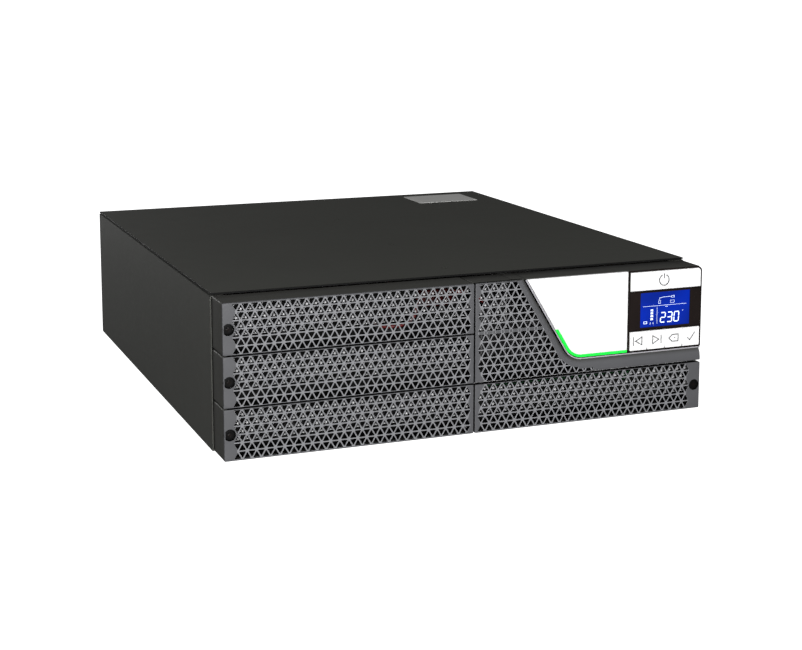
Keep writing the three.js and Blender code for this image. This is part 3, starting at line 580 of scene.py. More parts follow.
def panel(outline, holes, front, thick, rim=0.6, chamfer=0.2, depth_of=None, wall_of=None, wall=2.0,
          inner=()):
    """A moulded panel facing -Y. The outline runs anticlockwise seen from the front.

    front is the face's y; depth_of(x, z) sinks the face, as in a cove. Each hole is a convex loop with a
    chamfered mouth. wall_of(x, z) is how far the rim's wall runs back; the plate itself is thick.
    inner are open lines that the face's triangles follow."""
    depth_of = depth_of or (lambda x, z: 0.0)
    wall_of = wall_of or (lambda x, z: thick)
    rings = [offset_loop(outline, rim)]
    rings += [offset_loop(hole, -math.copysign(chamfer, area_of(hole))) for hole in holes]
    grille = {number for number, loop in enumerate(rings) if number and len(loop) < GRILLE_HOLE_POINTS}
    points, triangles, owners = triangulate(rings, inner)
    place = {}
    vertices, faces, finishes = [], [], []

    def face_point(p, behind=0.0):
        return (p[0], front + depth_of(p[0], p[1]) + behind, p[1])

    def vertex(co):
        key = tuple(round(c, 4) for c in co)
        if key not in place:
            place[key] = len(vertices)
            vertices.append(co)
        return place[key]

    def add_face(corners, finish):
        corners = list(dict.fromkeys(vertex(co) for co in corners))
        if len(corners) > 2:
            faces.append(corners)
            finishes.append(finish)

    def strip(first, second, finish_of=lambda i: PLAIN):
        for i in range(len(first)):
            j = (i + 1) % len(first)
            add_face([first[i], first[j], second[j], second[i]], finish_of(i))

    for triangle in triangles:
        if any(number > 0 for number in set.intersection(*[owners[k] for k in triangle])):
            continue
        corners = [points[k] for k in triangle]
        longest = max((a - b).length for a, b in zip(corners, corners[1:] + corners[:1]))
        narrow = 2 * area_tri(*corners) / longest < STRUT_HEIGHT
        on_strut = narrow and all(owners[k] & grille for k in triangle)
        add_face([face_point(p) for p in corners], STRUT if on_strut else PLAIN)
        add_face([face_point(p, thick) for p in reversed(corners)], DEEP)
    rim_loop = rings[0]
    steps = 3
    previous = [face_point(p) for p in rim_loop]
    for step in range(1, steps + 1):
        turn = math.pi / 2 * step / steps
        grown = offset_loop(outline, rim * (1 - math.sin(turn)))
        current = [(g[0], face_point(r)[1] + rim * (1 - math.cos(turn)), g[1])
                   for g, r in zip(grown, rim_loop)]
        strip(previous, current)
        previous = current
    back_rim = [(p[0], max(q[1] + 0.01, front + depth_of(*r) + wall_of(*p)), p[1])
                for p, r, q in zip(outline, rim_loop, previous)]
    seam = [wall_of(*p) <= SHORT_WALL for p in outline]
    strip(previous, back_rim, lambda i: DEEP if seam[i] and seam[(i + 1) % len(seam)] else PLAIN)
    inset = offset_loop(outline, wall)
    inner_back = [(g[0], b[1], g[1]) for g, b in zip(inset, back_rim)]
    strip(back_rim, inner_back)
    inner_front = [(g[0], front + depth_of(*r) + thick, g[1]) for g, r in zip(inset, rim_loop)]
    strip(inner_back, inner_front, lambda i: DEEP)
    for number, (loop, hole) in enumerate(zip(rings[1:], holes), 1):
        edge = STRUT if number in grille else DEEP
        neck = [(p[0], front + depth_of(*q) + chamfer, p[1]) for p, q in zip(hole, loop)]
        strip([face_point(p) for p in loop], neck, lambda i: edge)
        strip(neck, [face_point(q, thick) for q in loop], lambda i: DEEP)
    mesh = bpy.data.meshes.new("panel")
    mesh.from_pydata([Vector(v) * MM for v in vertices], [], faces)
    with editing(mesh) as work:
        for face, finish in zip(work.faces, finishes):
            face.material_index = finish
        bmesh.ops.recalc_face_normals(work, faces=work.faces)
    return mesh


def smooth_path(points, steps=6):
    """A Catmull-Rom curve through the points."""
    knots = [Vector(p) for p in (points[0], *points, points[-1])]
    path = []
    for a, b, c, d in zip(knots, knots[1:], knots[2:], knots[3:]):
        for i in range(steps):
            t = i / steps
            path.append(0.5 * (2 * b + (c - a) * t + (2 * a - 5 * b + 4 * c - d) * t * t
                               + (3 * b - a - 3 * c + d) * t * t * t))
    path.append(knots[-1])
    return path


def disc_profile(radius, low, high, edge=0.3):
    """The profile of a solid round disc with rounded edges."""
    return [(0, low), (radius - edge, low), (radius, low + edge), (radius, high - edge),
            (radius - edge, high), (0, high)]


def facing_rear(mesh):
    """Turns a mesh made facing the front, at mirrored x and y, so that it faces the rear."""
    mesh.transform(Matrix.Rotation(math.pi, 4, "Z"))
    return mesh


def centre_of(name):
    x0, x1, y0, y1, z0, z1 = edges_of(name)
    return (x0 + x1) / 2, (y0 + y1) / 2, (z0 + z1) / 2


# ---------------------------------------------------------------- the front

COVER = {name: edges_of(name) for name in (
    "cover_left_bottom", "cover_left_middle", "cover_left_top", "cover_right_bottom")}
BEZEL = edges_of("display_bezel")
FASCIA = edges_of("fascia_panel")
MODULE = edges_of("display_housing")
CASE = edges_of("base_tray")
LID = edges_of("top_cover")

# The grille: pitch along a row, row height, half strut, corner radius, rows and columns, and the plain strips
# at a cover's outer end and at the middle seam.
GRILLE = {"pitch": 7.85, "row": 6.92, "strut": 0.55, "corner": 0.42, "rows": 6, "count": 52, "plain": 7.05,
          "seam_plain": 2.1}
# The screen behind it: how far back, its sheet, half strut, corner radius, shift in x and z, rows and border.
SCREEN = {"depth": 5.2, "thick": 0.4, "strut": 0.11, "corner": 0.42, "shift": (-2.1, 0.93), "rows": 4,
          "border": 0.2}
PLATE = 2.2                # the thickness of the bezel's perforated faces
# The panels' second and third finishes: painted shade in holes and seams, a painted highlight on struts.
PAINTED_SHADE_AND_HIGHLIGHT = ("bezel_painted_shade", "bezel_strut_highlight")
SLOPE = math.radians(59)   # the fascia's slope, and the radius where it turns level
RADIUS = 17.0
FASCIA_BOTTOM = FASCIA[4] - 3.0
FASCIA_TOP_X = FASCIA[0] + 1.0
# The cove round the fascia: where it starts and ends, its depth, and the offsets that its faces follow.
COVE = {"outer": 8.7, "inner": 2.45, "depth": 4.2}
COVE_LINES = (8.6, 7.7, 6.8, 6.0, 5.2, 4.6, 4.1, 3.7, 3.4, 3.15)
# The rim between these edges is painted light grey as a highlight.
LIP = (0.75, 1.8)          # the bright rim's edges, outside the fascia's
TAB_HEIGHT = 6.0           # a battery's tabs over its lid
SERIAL_RISE = 32           # the serial socket over the signal plate's middle
STOP_DROP = -36            # the stop terminal from the signal plate's middle
FAN = {"hub": 16, "blades": 7, "tip": 36.0, "chord": 19.0, "sweep": 0.38, "camber": 1.4,
       "rings": (8, 18, 28, 38), "corner": 35.75}
SEAM_INSET = 0.45          # half a seam between two covers, and half the one under the display bezel
WIDE_SEAM_INSET = 0.75
LID_GAP = 2.4              # between the bezel's walls and the case behind
STOP = 3.2                 # how far from an outline's corner its wall depth may change
STOP_STEP = 0.05

# The fascia's edge: a slope, an arc that starts at this tangent point, and a level edge.
SLOPE_NORMAL = Vector((math.sin(SLOPE), math.cos(SLOPE)))
TANGENT_Z = FASCIA_BOTTOM + RADIUS * (1 - SLOPE_NORMAL.y)
TANGENT_X = FASCIA_TOP_X + (BEZEL[5] - TANGENT_Z) / math.tan(SLOPE)
ARC_CENTRE = Vector((TANGENT_X + RADIUS * SLOPE_NORMAL.x, FASCIA_BOTTOM + RADIUS))


def fascia_path(offset, top, right, steps=14):
    """The fascia's sloping and level edge moved outwards by an offset, from its top to its right end."""
    radius = RADIUS + offset
    start = ARC_CENTRE - SLOPE_NORMAL * radius
    points = [(start.x - (top - start.y) / math.tan(SLOPE), top)]
    for i in range(steps + 1):
        angle = math.pi + SLOPE / 2 + SLOPE * i / steps
        points.append((ARC_CENTRE.x + radius * math.cos(angle), ARC_CENTRE.y + radius * math.sin(angle)))
    points.append((right, FASCIA_BOTTOM - offset))
    return points


def fascia_distance(x, z):
    """How far a point lies outside the fascia's edge; the slope, the arc and the level edge in turn."""
    here = Vector((x, z)) - ARC_CENTRE
    along_slope = here.dot(Vector((-math.cos(SLOPE), math.sin(SLOPE))))
    if along_slope > 0 and x < ARC_CENTRE.x:
        return here.dot(-SLOPE_NORMAL) - RADIUS
    if x > ARC_CENTRE.x:
        return FASCIA_BOTTOM - z
    return here.length - RADIUS


def fascia_normal(x, z, step=0.01):
    """The direction from a point straight towards the fascia's edge."""
    across = fascia_distance(x + step, z) - fascia_distance(x - step, z)
    upward = fascia_distance(x, z + step) - fascia_distance(x, z - step)
    return -Vector((across, upward)).normalized()


def cove_depth(x, z):
    """How far the bezel's face sinks towards the fascia: a quarter round, steepest at the fascia."""
    across = (COVE["outer"] - fascia_distance(x, z)) / (COVE["outer"] - COVE["inner"])
    across = min(1.0, max(0.0, across))
    return COVE["depth"] * (1 - math.sqrt(1 - 0.97 * across * across))


def triangle_hole(x, z, up, finish=GRILLE):
    """One triangular hole with rounded corners, anticlockwise, centred on its lattice cell."""
    half = GRILLE["pitch"] / 2
    rise = GRILLE["row"] / 2
    cell = [(x - half, z - rise), (x + half, z - rise), (x, z + rise)]
    if not up:
        cell = [(x + half, z + rise), (x - half, z + rise), (x, z - rise)]
    return rounded_outline(offset_loop(cell, finish["strut"]), finish["corner"], 2)


def grille_rows(first_x, top_z, count=GRILLE["count"]):
    """The triangles of one 1U grille, as (x, z, up)."""
    for row in range(GRILLE["rows"]):
        z = top_z - (row + 0.5) * GRILLE["row"]
        for i in range(count):
            yield first_x + i * GRILLE["pitch"] / 2, z, (i + row) % 2 == 1


def clip_loop(loop, point, normal):
    """The part of a convex loop on the far side of a line from its normal."""
    kept = []
    for a, b in zip(loop, loop[1:] + loop[:1]):
        da = (a[0] - point[0]) * normal[0] + (a[1] - point[1]) * normal[1]
        db = (b[0] - point[0]) * normal[0] + (b[1] - point[1]) * normal[1]
        if da <= 0:
            kept.append(a)
        if da * db < 0:
            t = da / (da - db)
            kept.append((a[0] + (b[0] - a[0]) * t, a[1] + (b[1] - a[1]) * t))
    return [p for p, q in zip(kept, kept[1:] + kept[:1]) if math.dist(p, q) > 0.12]


def circle(x, z, radius, steps=28):
    return [(x + radius * math.cos(2 * math.pi * i / steps), z + radius * math.sin(2 * math.pi * i / steps))
            for i in range(steps)]


def anticlockwise(points):
    cx = sum(p[0] for p in points) / len(points)
    cz = sum(p[1] for p in points) / len(points)
    return sorted(points, key=lambda p: math.atan2(p[1] - cz, p[0] - cx))


def outline_with_stops(x0, x1, z0, z1, corner):
    """A rounded rectangle with a pair of close points near each corner, where wall depths change."""
    points = []
    for cx, cz in rectangle(x0, x1, z0, z1):
        sx, sz = (1 if cx == x0 else -1), (1 if cz == z0 else -1)
        points += [(cx + sx * reach, cz) for reach in (STOP + STOP_STEP, STOP)]
        bend = [(cx + sx * STOP, cz), (cx, cz), (cx, cz + sz * STOP)]
        points += rounded_outline(bend, [0, corner, 0], 3)[1:-1]
        points += [(cx, cz + sz * reach) for reach in (STOP, STOP + STOP_STEP)]
    return anticlockwise(points)


def add_screen(name, edge, cells, front, node):
    """The fine steel screen behind a grille: the same lattice with thinner struts, shifted."""
    x0, x1, z0, z1 = edge
    border = SCREEN["border"]
    shift_x, shift_z = SCREEN["shift"]
    sides = (((x0 + border, z0), (-1, 0)), ((x1 - border, z0), (1, 0)), ((x0, z0 + border), (0, -1)),
             ((x0, z1 - border), (0, 1)))
    holes = []
    for x, z, up in cells:
        loop = triangle_hole(x + shift_x, z + shift_z, up, SCREEN)
        for point, normal in sides:
            loop = clip_loop(loop, point, normal) if len(loop) > 2 else []
        if len(loop) > 2 and abs(area_of(loop)) > 1.0:
            holes.append(loop)
    sheet = panel(rectangle(*edge), holes, front + SCREEN["depth"], SCREEN["thick"], rim=0.05, chamfer=0.04,
                  wall=0.1)
    add_piece(name, sheet, node, "galvanised", "screen_steel")


def screen_bottom(cells):
    """Where the screen's sheet ends, below its lowest row of holes."""
    return min(z for _, z, _ in cells) - GRILLE["row"] / 2 + SCREEN["shift"][1]


def add_cover(name):
    """A 1U cover: a perforated face, a plain end strip with its screw, and walls run back to the case."""
    x0, x1, y0, y1, z0, z1 = COVER[name]
    left = x0 < CASE[0] / 2
    screw_x, _, screw_z = centre_of(name + "_screw")
    top = z0 + (z1 - z0 + GRILLE["rows"] * GRILLE["row"]) / 2
    first = x0 + (GRILLE["plain"] if left else GRILLE["seam_plain"]) + GRILLE["pitch"] / 2
    cells = list(grille_rows(first, top))
    holes = [triangle_hole(*cell) for cell in cells] + [circle(screw_x, screw_z, 4.7)]
    lowest, highest = name.endswith("bottom"), name.endswith("top")
    end_strip, edge_strip = STOP + 0.01, 0.5

    def wall_of(x, z):
        at_end = x < x0 + end_strip if left else x > x1 - end_strip
        at_outside = (lowest and z < z0 + edge_strip) or (highest and z > z1 - edge_strip)
        return y1 - y0 - LID_GAP if at_end or at_outside else SHORT_WALL

    low = 0 if lowest else SEAM_INSET
    high = 0 if highest else SEAM_INSET if left else WIDE_SEAM_INSET
    outline = outline_with_stops(x0 + (0 if left else SEAM_INSET), x1 - (SEAM_INSET if left else 0), z0 + low,
                                 z1 - high, 0.8)
    face = panel(outline, holes, y0, PLATE, rim=0.4, wall_of=wall_of)
    add_piece(name + "_grille", face, name, "bezel_plastic", stands=True, more=PAINTED_SHADE_AND_HIGHLIGHT)
    columns = GRILLE["count"] + 2
    screened = list(grille_rows(first, top, columns))[:SCREEN["rows"] * columns]
    edge = (cells[0][0] - 4, cells[-1][0] + 4, screen_bottom(screened), z1 - 0.2)
    add_screen(name + "_screen", edge, screened, y0, name)
    add_screw(name + "_screw", screw_x, screw_z, y0 + 0.6)


def add_screw(name, x, z, y):
    """A black pan-head screw with a cross recess, in its counterbore."""
    profile = [(0, 0.35), (1.2, 0.3), (2.8, 0.05), (3.9, 0.25), (4.4, 0.8), (4.45, 1.9), (2.2, 2.0),
               (2.1, 26), (0, 26)]
    head = lathe_y([(radius, y + behind) for radius, behind in profile], x, z)
    cross = [rounded_box(x - a, x + a, y + 0.02, y + 0.27, z - b, z + b, 0.1)
             for a, b in ((2.0, 0.35), (0.35, 2.0))]
    add_piece(name + "_head", head, name, "screw_black", stands=True)
    add_piece(name + "_recess", join_meshes(cross), name, "screw_black", "black_gloss")


def display_grille():
    """The display bezel's cells and its holes, which are clipped where they meet the cove."""
    x0 = BEZEL[0]
    middle = COVER["cover_left_middle"]
    margin = (middle[5] - middle[4] - GRILLE["rows"] * GRILLE["row"]) / 2
    right_end, level_extra = 114, 1.4
    limit = COVE["outer"] + 0.2
    cells, holes = [], []
    for cover_top in (COVER["cover_left_top"][5], middle[5]):
        for x, z, up in grille_rows(x0 + GRILLE["seam_plain"] + GRILLE["pitch"] / 2, cover_top - margin, 29):
            distance = fascia_distance(x, z)
            if x > right_end or distance < -6:
                continue
            normal = fascia_normal(x, z)
            gap = distance - (limit + level_extra if normal.y > 0.99 else limit)
            loop = clip_loop(triangle_hole(x, z, up), (x + normal.x * gap, z + normal.y * gap), normal)
            if len(loop) > 2 and abs(area_of(loop)) > 1.2:
                holes.append(loop)
                cells.append((x, z, up))
    return cells, holes


def add_display_bezel():
    """The upper right bezel: a grille, a concave band along the fascia, and the pocket for the module."""
    x0, x1, y0, y1, z0, z1 = BEZEL
    node = "display_bezel"
    shelf = MODULE[4] - 0.3
    path = fascia_path(COVE["inner"], z1, x1)
    left, low = x0 + SEAM_INSET, z0 + WIDE_SEAM_INSET
    far_stop = STOP + STOP_STEP
    outline = [(x, low) for x in (left, left + STOP, left + far_stop, x1 - far_stop, x1 - STOP, x1)]
    outline += [(x1, z) for z in (low + STOP, low + far_stop, min(shelf, path[-1][1]))]
    outline += path[::-1][1:] + [(left, z1)]
    cells, holes = display_grille()
    lines = [fascia_path(offset, z1 - 0.42, x1 - 0.42) for offset in COVE_LINES]

    def wall_of(x, z):
        if x > x1 - 1:
            return y1 - y0 - LID_GAP
        return 4.0 if fascia_distance(x, z) < COVE["inner"] + 0.5 or z > z1 - 1 else SHORT_WALL

    face = panel(outline, holes, y0, PLATE, rim=0.4, depth_of=cove_depth, wall_of=wall_of, wall=1.8,
                 inner=lines)
    add_piece("display_bezel_face", face, node, "bezel_plastic", stands=True, more=PAINTED_SHADE_AND_HIGHLIGHT)

    behind, back = y0 + PLATE + 1, y1 - LID_GAP
    pocket_back = y1 - 6
    cove_left = FASCIA_TOP_X - COVE["outer"] - 3
    wall_x = MODULE[0] - 2.4
    shell = [
        rounded_box(x1 - 2, x1, behind, back, shelf, z1 - 2.5, 0.4),
        rounded_box(left, cove_left, behind, back, z1 - 2, z1 - 0.02, 0.3),
        rounded_box(cove_left - 1, FASCIA_TOP_X + 1, y0 + COVE["depth"] + 1.4, back, z1 - 2, z1 - 0.02, 0.3),
        rounded_box(FASCIA_TOP_X, x1 - 1.5, y0 + 2.8, back, z1 - 2, z1 - 0.02, 0.3),
        rounded_box(wall_x, wall_x + 2, behind, pocket_back, shelf - 2, z1 - 2, 0.3),
        rounded_box(wall_x, x1 - 2, y0 + 2.5, pocket_back, shelf - 2, shelf, 0.3),
    ]
    add_piece("display_bezel_shell", join_meshes(shell), node, "bezel_plastic")

    backing_top, backing_right = z1 - 2.2, MODULE[0] - 2.6
    backing = [(backing_right, backing_top)] + fascia_path(3.0, backing_top, backing_right)
    add_piece("fascia_backing", panel(backing, [], y0 + 4.9, 1.2, rim=0.2), node, "black_plastic")
    right = FASCIA_TOP_X - COVE["outer"] - 8
    split = COVER["cover_left_middle"][5]
    screened = [cell for cell in cells if cell[0] < right + 4 and cell[1] > split]
    edge = (x0 + 1.2, right, screen_bottom(screened), z1 - 3)
    add_screen("display_bezel_screen", edge, screened, y0, node)


def add_fascia():
    """The white plate with its light strip, and the rim that borders it across a fine gap, painted light grey
    as a highlight.
    """
    _, x1, y0, y1, _, z1 = FASCIA
    x1 -= 0.5
    strip_top, width, gap = edges_of("light_strip")[5], 2.1, 0.25
    outline = [(x1, z1 - 0.9), (x1 - 0.25, z1 - 0.25), (x1 - 0.9, z1), fascia_path(0, z1, x1)[0],
               fascia_path(0, strip_top + gap, x1)[0]]
    outline += fascia_path(-width - gap, strip_top + gap, x1)
    face = panel(outline, [], y0, y1 - y0, rim=0.35)
    add_piece("fascia_face", face, "fascia_panel", "white_plastic", stands=True)

    lens = fascia_path(-width, strip_top, x1)[::-1] + fascia_path(0, strip_top, x1)
    add_piece("light_strip_lens", panel(lens, [], y0 + 0.1, 2.2, rim=0.3), "light_strip", "light_green",
              stands=True)

    lip_right = BEZEL[1] - 0.4
    lip = fascia_path(LIP[0], z1 - 0.2, lip_right)[::-1] + fascia_path(LIP[1], z1 - 0.2, lip_right)
    rim = panel(lip, [], y0 + 0.25, 4.2, rim=0.15, wall=0.2)
    # The rim is light grey as a painted highlight, with painted shade inside.
    add_piece("fascia_rim", rim, "display_bezel", "bezel_plastic", "bezel_lip_highlight", more=("bezel_painted_shade",))


# ---------------------------------------------------------------- the display module

KEYS = ("key_previous", "key_next", "key_escape", "key_enter")


def around(edges, grow_x, grow_z, radii):
    """A rounded rectangle round a box's front, larger by grow_x at each side and grow_z above and below."""
    x0, x1, _, _, z0, z1 = edges
    return rounded_outline(rectangle(x0 - grow_x, x1 + grow_x, z0 - grow_z, z1 + grow_z), radii)


def add_display_module():
    """The housing with its three windows, the power button's cap and the four key caps."""
    x0, x1, y0, y1, z0, z1 = MODULE
    power = edges_of("power_button")
    keys = {name: edges_of(name) for name in KEYS}
    surround = edges_of("display_surround")
    first, last = keys[KEYS[0]], keys[KEYS[-1]]
    key_row = (first[0], last[1], *first[2:])
    margin = 0.35
    windows = [around(power, margin, margin, [0.5, 0.5, 3.2, 0.5]), around(surround, margin, margin, 0.4),
               around(key_row, margin, margin, 0.5)]
    outline = rounded_outline(rectangle(x0, x1, z0, z1), [0.8, 0.8, 4.0, 0.8])
    flange = panel(outline, windows, y0, 2.3, rim=0.35, chamfer=0.12, wall=0.8)
    node = "display_housing"
    add_piece("display_flange", flange, node, "black_plastic", "black_gloss", stands=True)
    inside_x0, inside_x1, inside_top, front, wall = x0 + 1.5, x1 - 2.5, z1 - 2.6, y0 + 1.2, 1.5
    shell = [
        rounded_box(inside_x0, inside_x0 + wall, front, y1, z0 + 1, inside_top, 0.3),
        rounded_box(inside_x1 - wall, inside_x1, front, y1, z0 + 1, inside_top, 0.3),
        rounded_box(inside_x0, inside_x1, front, y1, z0 + 1, z0 + 1 + wall, 0.3),
        rounded_box(inside_x0, inside_x1, front, y1, inside_top - wall, inside_top, 0.3),
        rounded_box(inside_x0 + wall, inside_x1 - wall, y0 + 6.5, y0 + 7.5, z0 + 2.5, z1 - 4, 0.1),
    ]
    add_piece("display_shell", join_meshes(shell), node, "black_plastic")

    play, key_gap, cap_depth = 0.05, 0.3, 3.9
    cap = panel(around(power, play, play, [0.4, 0.4, 3.0, 0.4]), [], power[2], cap_depth, rim=0.3)
    add_piece("power_cap", cap, "power_button", "white_plastic", stands=True)
    for name, key in keys.items():
        cap = panel(around(key, -key_gap, play, 0.35), [], key[2], cap_depth, rim=0.22)
        add_piece(name + "_cap", cap, name, "white_plastic", stands=True)
    add_icons(power[2] - 0.03)
    add_display(surround)


# Each key's symbol: its strokes round the key's middle, and whether each one closes.
ARROW = [(3.4, -3.6), (3.4, 3.6), (-2.8, 0)]
ARROW_BAR = [(-5.0, -3.8), (-5.0, 3.8)]
SYMBOLS = {
    "key_previous": ((ARROW, True), (ARROW_BAR, False)),
    "key_next": (([(-x, z) for x, z in ARROW], True), ([(-x, z) for x, z in ARROW_BAR], False)),
    "key_escape": (([(4.6, -3.1), (4.6, 3.1), (-1.4, 3.1), (-4.8, 0), (-1.4, -3.1)], True),
                   ([(0.5, 0), (1.6, 0)], False)),
    "key_enter": (([(-3.8, -0.6), (-1.2, -3.2), (3.8, 3.6)], False),),
}


def add_icons(y):
    """Outline symbols: power, previous, next, back and accept."""
    power_pen, key_pen, radius = 0.85, 0.8, 4.8
    x, _, z = centre_of("power_button")
    x -= 2.0
    turns = [math.radians(115 + 310 * i / 40) for i in range(41)]
    ring = [(x + radius * math.cos(turn), z + radius * math.sin(turn)) for turn in turns]
    strokes = [ribbon(ring, power_pen, y), ribbon([(x, z + 1.4), (x, z + 5.8)], power_pen, y)]
    add_piece("power_icon", join_meshes(strokes), "power_button", "label_grey", "icon_grey")
    for name, lines in SYMBOLS.items():
        x, _, z = centre_of(name)
        strokes = [ribbon([(x + dx, z + dz) for dx, dz in points], key_pen, y, closed=closed)
                   for points, closed in lines]
        add_piece(name + "_icon", join_meshes(strokes), name, "label_grey", "icon_grey")


SEGMENTS = {"0": "abcdef", "2": "abged", "3": "abgcd"}


def digit_bars(symbol, x, z, width, height):
    """Seven-segment bars for one digit, slightly slanted."""
    w, h = width / 2, height / 2
    lines = {
        "a": ((-w, h), (w, h)), "g": ((-w, 0), (w, 0)), "d": ((-w, -h), (w, -h)),
        "f": ((-w, 0), (-w, h)), "b": ((w, 0), (w, h)), "e": ((-w, -h), (-w, 0)), "c": ((w, -h), (w, 0)),
    }
    slant, gap = 0.06, 0.35
    for name in SEGMENTS[symbol]:
        start, end = (Vector(p) for p in lines[name])
        along = (end - start).normalized() * gap
        yield [(x + p.x + slant * p.y, z + p.y) for p in (start + along, end - along)]


# The display's strokes, in fractions of the glass: points, pen width in mm, and whether the stroke closes.
LCD_STROKES = (
    ([(0.06, 0.60), (0.94, 0.60)], 0.22, False),
    ([(0.345, 0.08), (0.345, 0.56)], 0.22, False),
    *(([(0.215, 0.22 + 0.085 * i), (0.265, 0.22 + 0.085 * i)], 1.7, False) for i in range(4)),
    ([(0.38, 0.76), (0.40, 0.82), (0.47, 0.84), (0.63, 0.84)], 0.3, False),
    (rectangle(0.63, 0.69, 0.81, 0.86), 0.25, True),
    ([(0.37, 0.66), (0.37, 0.74), (0.41, 0.74), (0.41, 0.66)], 0.22, True),
    ([(0.61, 0.66), (0.61, 0.73), (0.69, 0.73), (0.69, 0.66)], 0.22, True),
    ([(0.51, 0.555), (0.56, 0.555)], 0.35, False),
    ([(0.08, 0.10), (0.08, 0.16), (0.14, 0.16), (0.14, 0.10)], 0.4, True),
    ([(0.21, 0.07), (0.21, 0.13)], 0.35, False),
    ([(0.27, 0.07), (0.27, 0.13)], 0.35, False),
    ([(0.86, 0.40), (0.875, 0.42)], 0.3, False),
)


def add_display(surround):
    """A glossy black surround, and the lit blue display with its bars, lines and reading."""
    _, _, y0, y1, _, _ = surround
    lcd = edges_of("lcd_panel")
    x0, x1, z0, z1 = lcd[0] + 3, lcd[1] - 3, lcd[4] + 1, lcd[5] - 0.5
    node = "display_surround"
    opening = rounded_outline(rectangle(x0, x1, z0, z1), 0.3, 3)
    window = panel(around(surround, 0.1, 0.1, 0.3), [opening], y0, y1 - y0, rim=0.2, chamfer=0.15, wall=0.5)
    add_piece("display_window_frame", window, node, "black_plastic", "black_gloss", stands=True)
    depth = y0 + 1.0
    lit = rounded_box(x0 - 1, x1 + 1, depth, depth + 2.5, z0 - 0.6, z1 + 0.4, 0.1)
    add_piece("lcd_glass", lit, "lcd_panel", "lcd_blue", stands=True)

    width, height = x1 - x0, z1 - z0
    y, thick = depth - 0.04, 0.06
    strokes = []
    for i, symbol in enumerate("230"):
        for points in digit_bars(symbol, x0 + width * (0.465 + 0.137 * i), z0 + height * 0.245, 4.6, 8.6):
            strokes.append(ribbon(points, 0.95, y, thick))
    for points, pen, closed in LCD_STROKES:
        strokes.append(ribbon([(x0 + u * width, z0 + v * height) for u, v in points], pen, y, thick, closed))
    add_piece("lcd_segments", join_meshes(strokes), node, "lcd_blue", "lcd_white")


# ---------------------------------------------------------------- the battery pack

def add_battery(name):
    """A sealed block: a ribbed case, a welded lid with a vent strip, two tab terminals and a blank label."""
    x0, x1, y0, y1, z0, z1 = edges_of(name)
    top = z1 - TAB_HEIGHT
    node = name
    case = [
        rounded_box(x0, x1, y0, y1, z0, top - 11.5, 1.2, 3),
        rounded_box(x0 + 0.5, x1 - 0.5, y0 + 0.5, y1 - 0.5, top - 12, top - 2, 0.4),
        rounded_box(x0, x1, y0, y1, top - 11, top - 2.2, 0.9, 3),
        rounded_box(x0 + 2.5, x1 - 2.5, y0 + 2.5, y1 - 2.5, top - 2.6, top, 0.6),
        rounded_box((x0 + x1) / 2 - 9, (x0 + x1) / 2 + 9, y0 + 22, y1 - 22, top - 0.3, top + 0.7, 0.4),
    ]
    tab_y = y0 + 7
    sides = (x0 + 11, x1 - 11)
    case += [rounded_box(x - 5.5, x + 5.5, tab_y - 4, tab_y + 5, top - 0.5, top + 1.4, 0.4) for x in sides]
    add_piece(name + "_block", join_meshes(case), node, "battery_case", stands=True)
    tabs = [rounded_box(x - 3, x + 3, tab_y, tab_y + 1, top, z1, 0.2) for x in sides]
    add_piece(name + "_tabs", join_meshes(tabs), node, "battery_case", "aluminium")
    label = rounded_box(x0 + 8, x1 - 8, y1 - 19, y1 - 5, top - 0.1, top + 0.15, 0.05)
    add_piece(name + "_label", label, node, "battery_case", "label_grey")
    return sides, tab_y, z1


def add_batteries():
    """The six blocks, the wires that link them, and a shoe on each tab."""
    ends = {number: add_battery("battery_%d" % number) for number in range(1, 7)}
    node = "battery_1"
    links = []
    for first, second in ((1, 2), (2, 3), (4, 5), (5, 6)):
        (_, start), y, top = ends[first]
        (end, _), _, _ = ends[second]
        links.append([(start, y + 3, top - 3), (start + 3, y + 6, top - 2.2), (end - 3, y + 6, top - 2.2),
                      (end, y + 3, top - 3)])
    (_, start), y, top = ends[3]
    (_, end), far, _ = ends[6]
    links.append([(start, y + 3, top - 3), (start + 6, y + 14, top - 2.4), (end + 6, far - 14, top - 2.4),
                  (end, far - 2, top - 3)])
    wires = [tube(smooth_path(points), 1.6, 10) for points in links]
    shoes = [rounded_box(x - 3.6, x + 3.6, y - 1.6, y + 2.8, top - 5.5, top - 0.6, 0.7)
             for sides, y, top in ends.values() for x in sides]
    add_piece("pack_links", join_meshes(wires), node, "red_wire")
    add_piece("pack_shoes", join_meshes(shoes), node, "red_wire", "connector_red")


def add_pack_handle():
    """The pull handle: a bent round bar with a disc at each foot."""
    x0, x1, y0, y1, z0, z1 = edges_of("pack_handle")
    z, radius = (z0 + z1) / 2, (z1 - z0) / 2
    front = y0 + radius
    left = x0 + radius
    legs = [(left, y1), (left, y1 - 8), (left + 2.4, front + 4), (left + 9, front)]
    points = [(x, y, z) for x, y in legs] + [(x0 + x1 - x, y, z) for x, y in legs[::-1]]
    grip = [tube(smooth_path(points, 8), radius, 16)]
    for x in (x0 + radius, x1 - radius):
        grip.append(lathe_y(disc_profile(7, y1 - 2.2, y1 - 0.1, 0.5), x, z, 28))
    add_piece("pack_handle_grip", join_meshes(grip), "pack_handle", "black_plastic",
              stands=True)


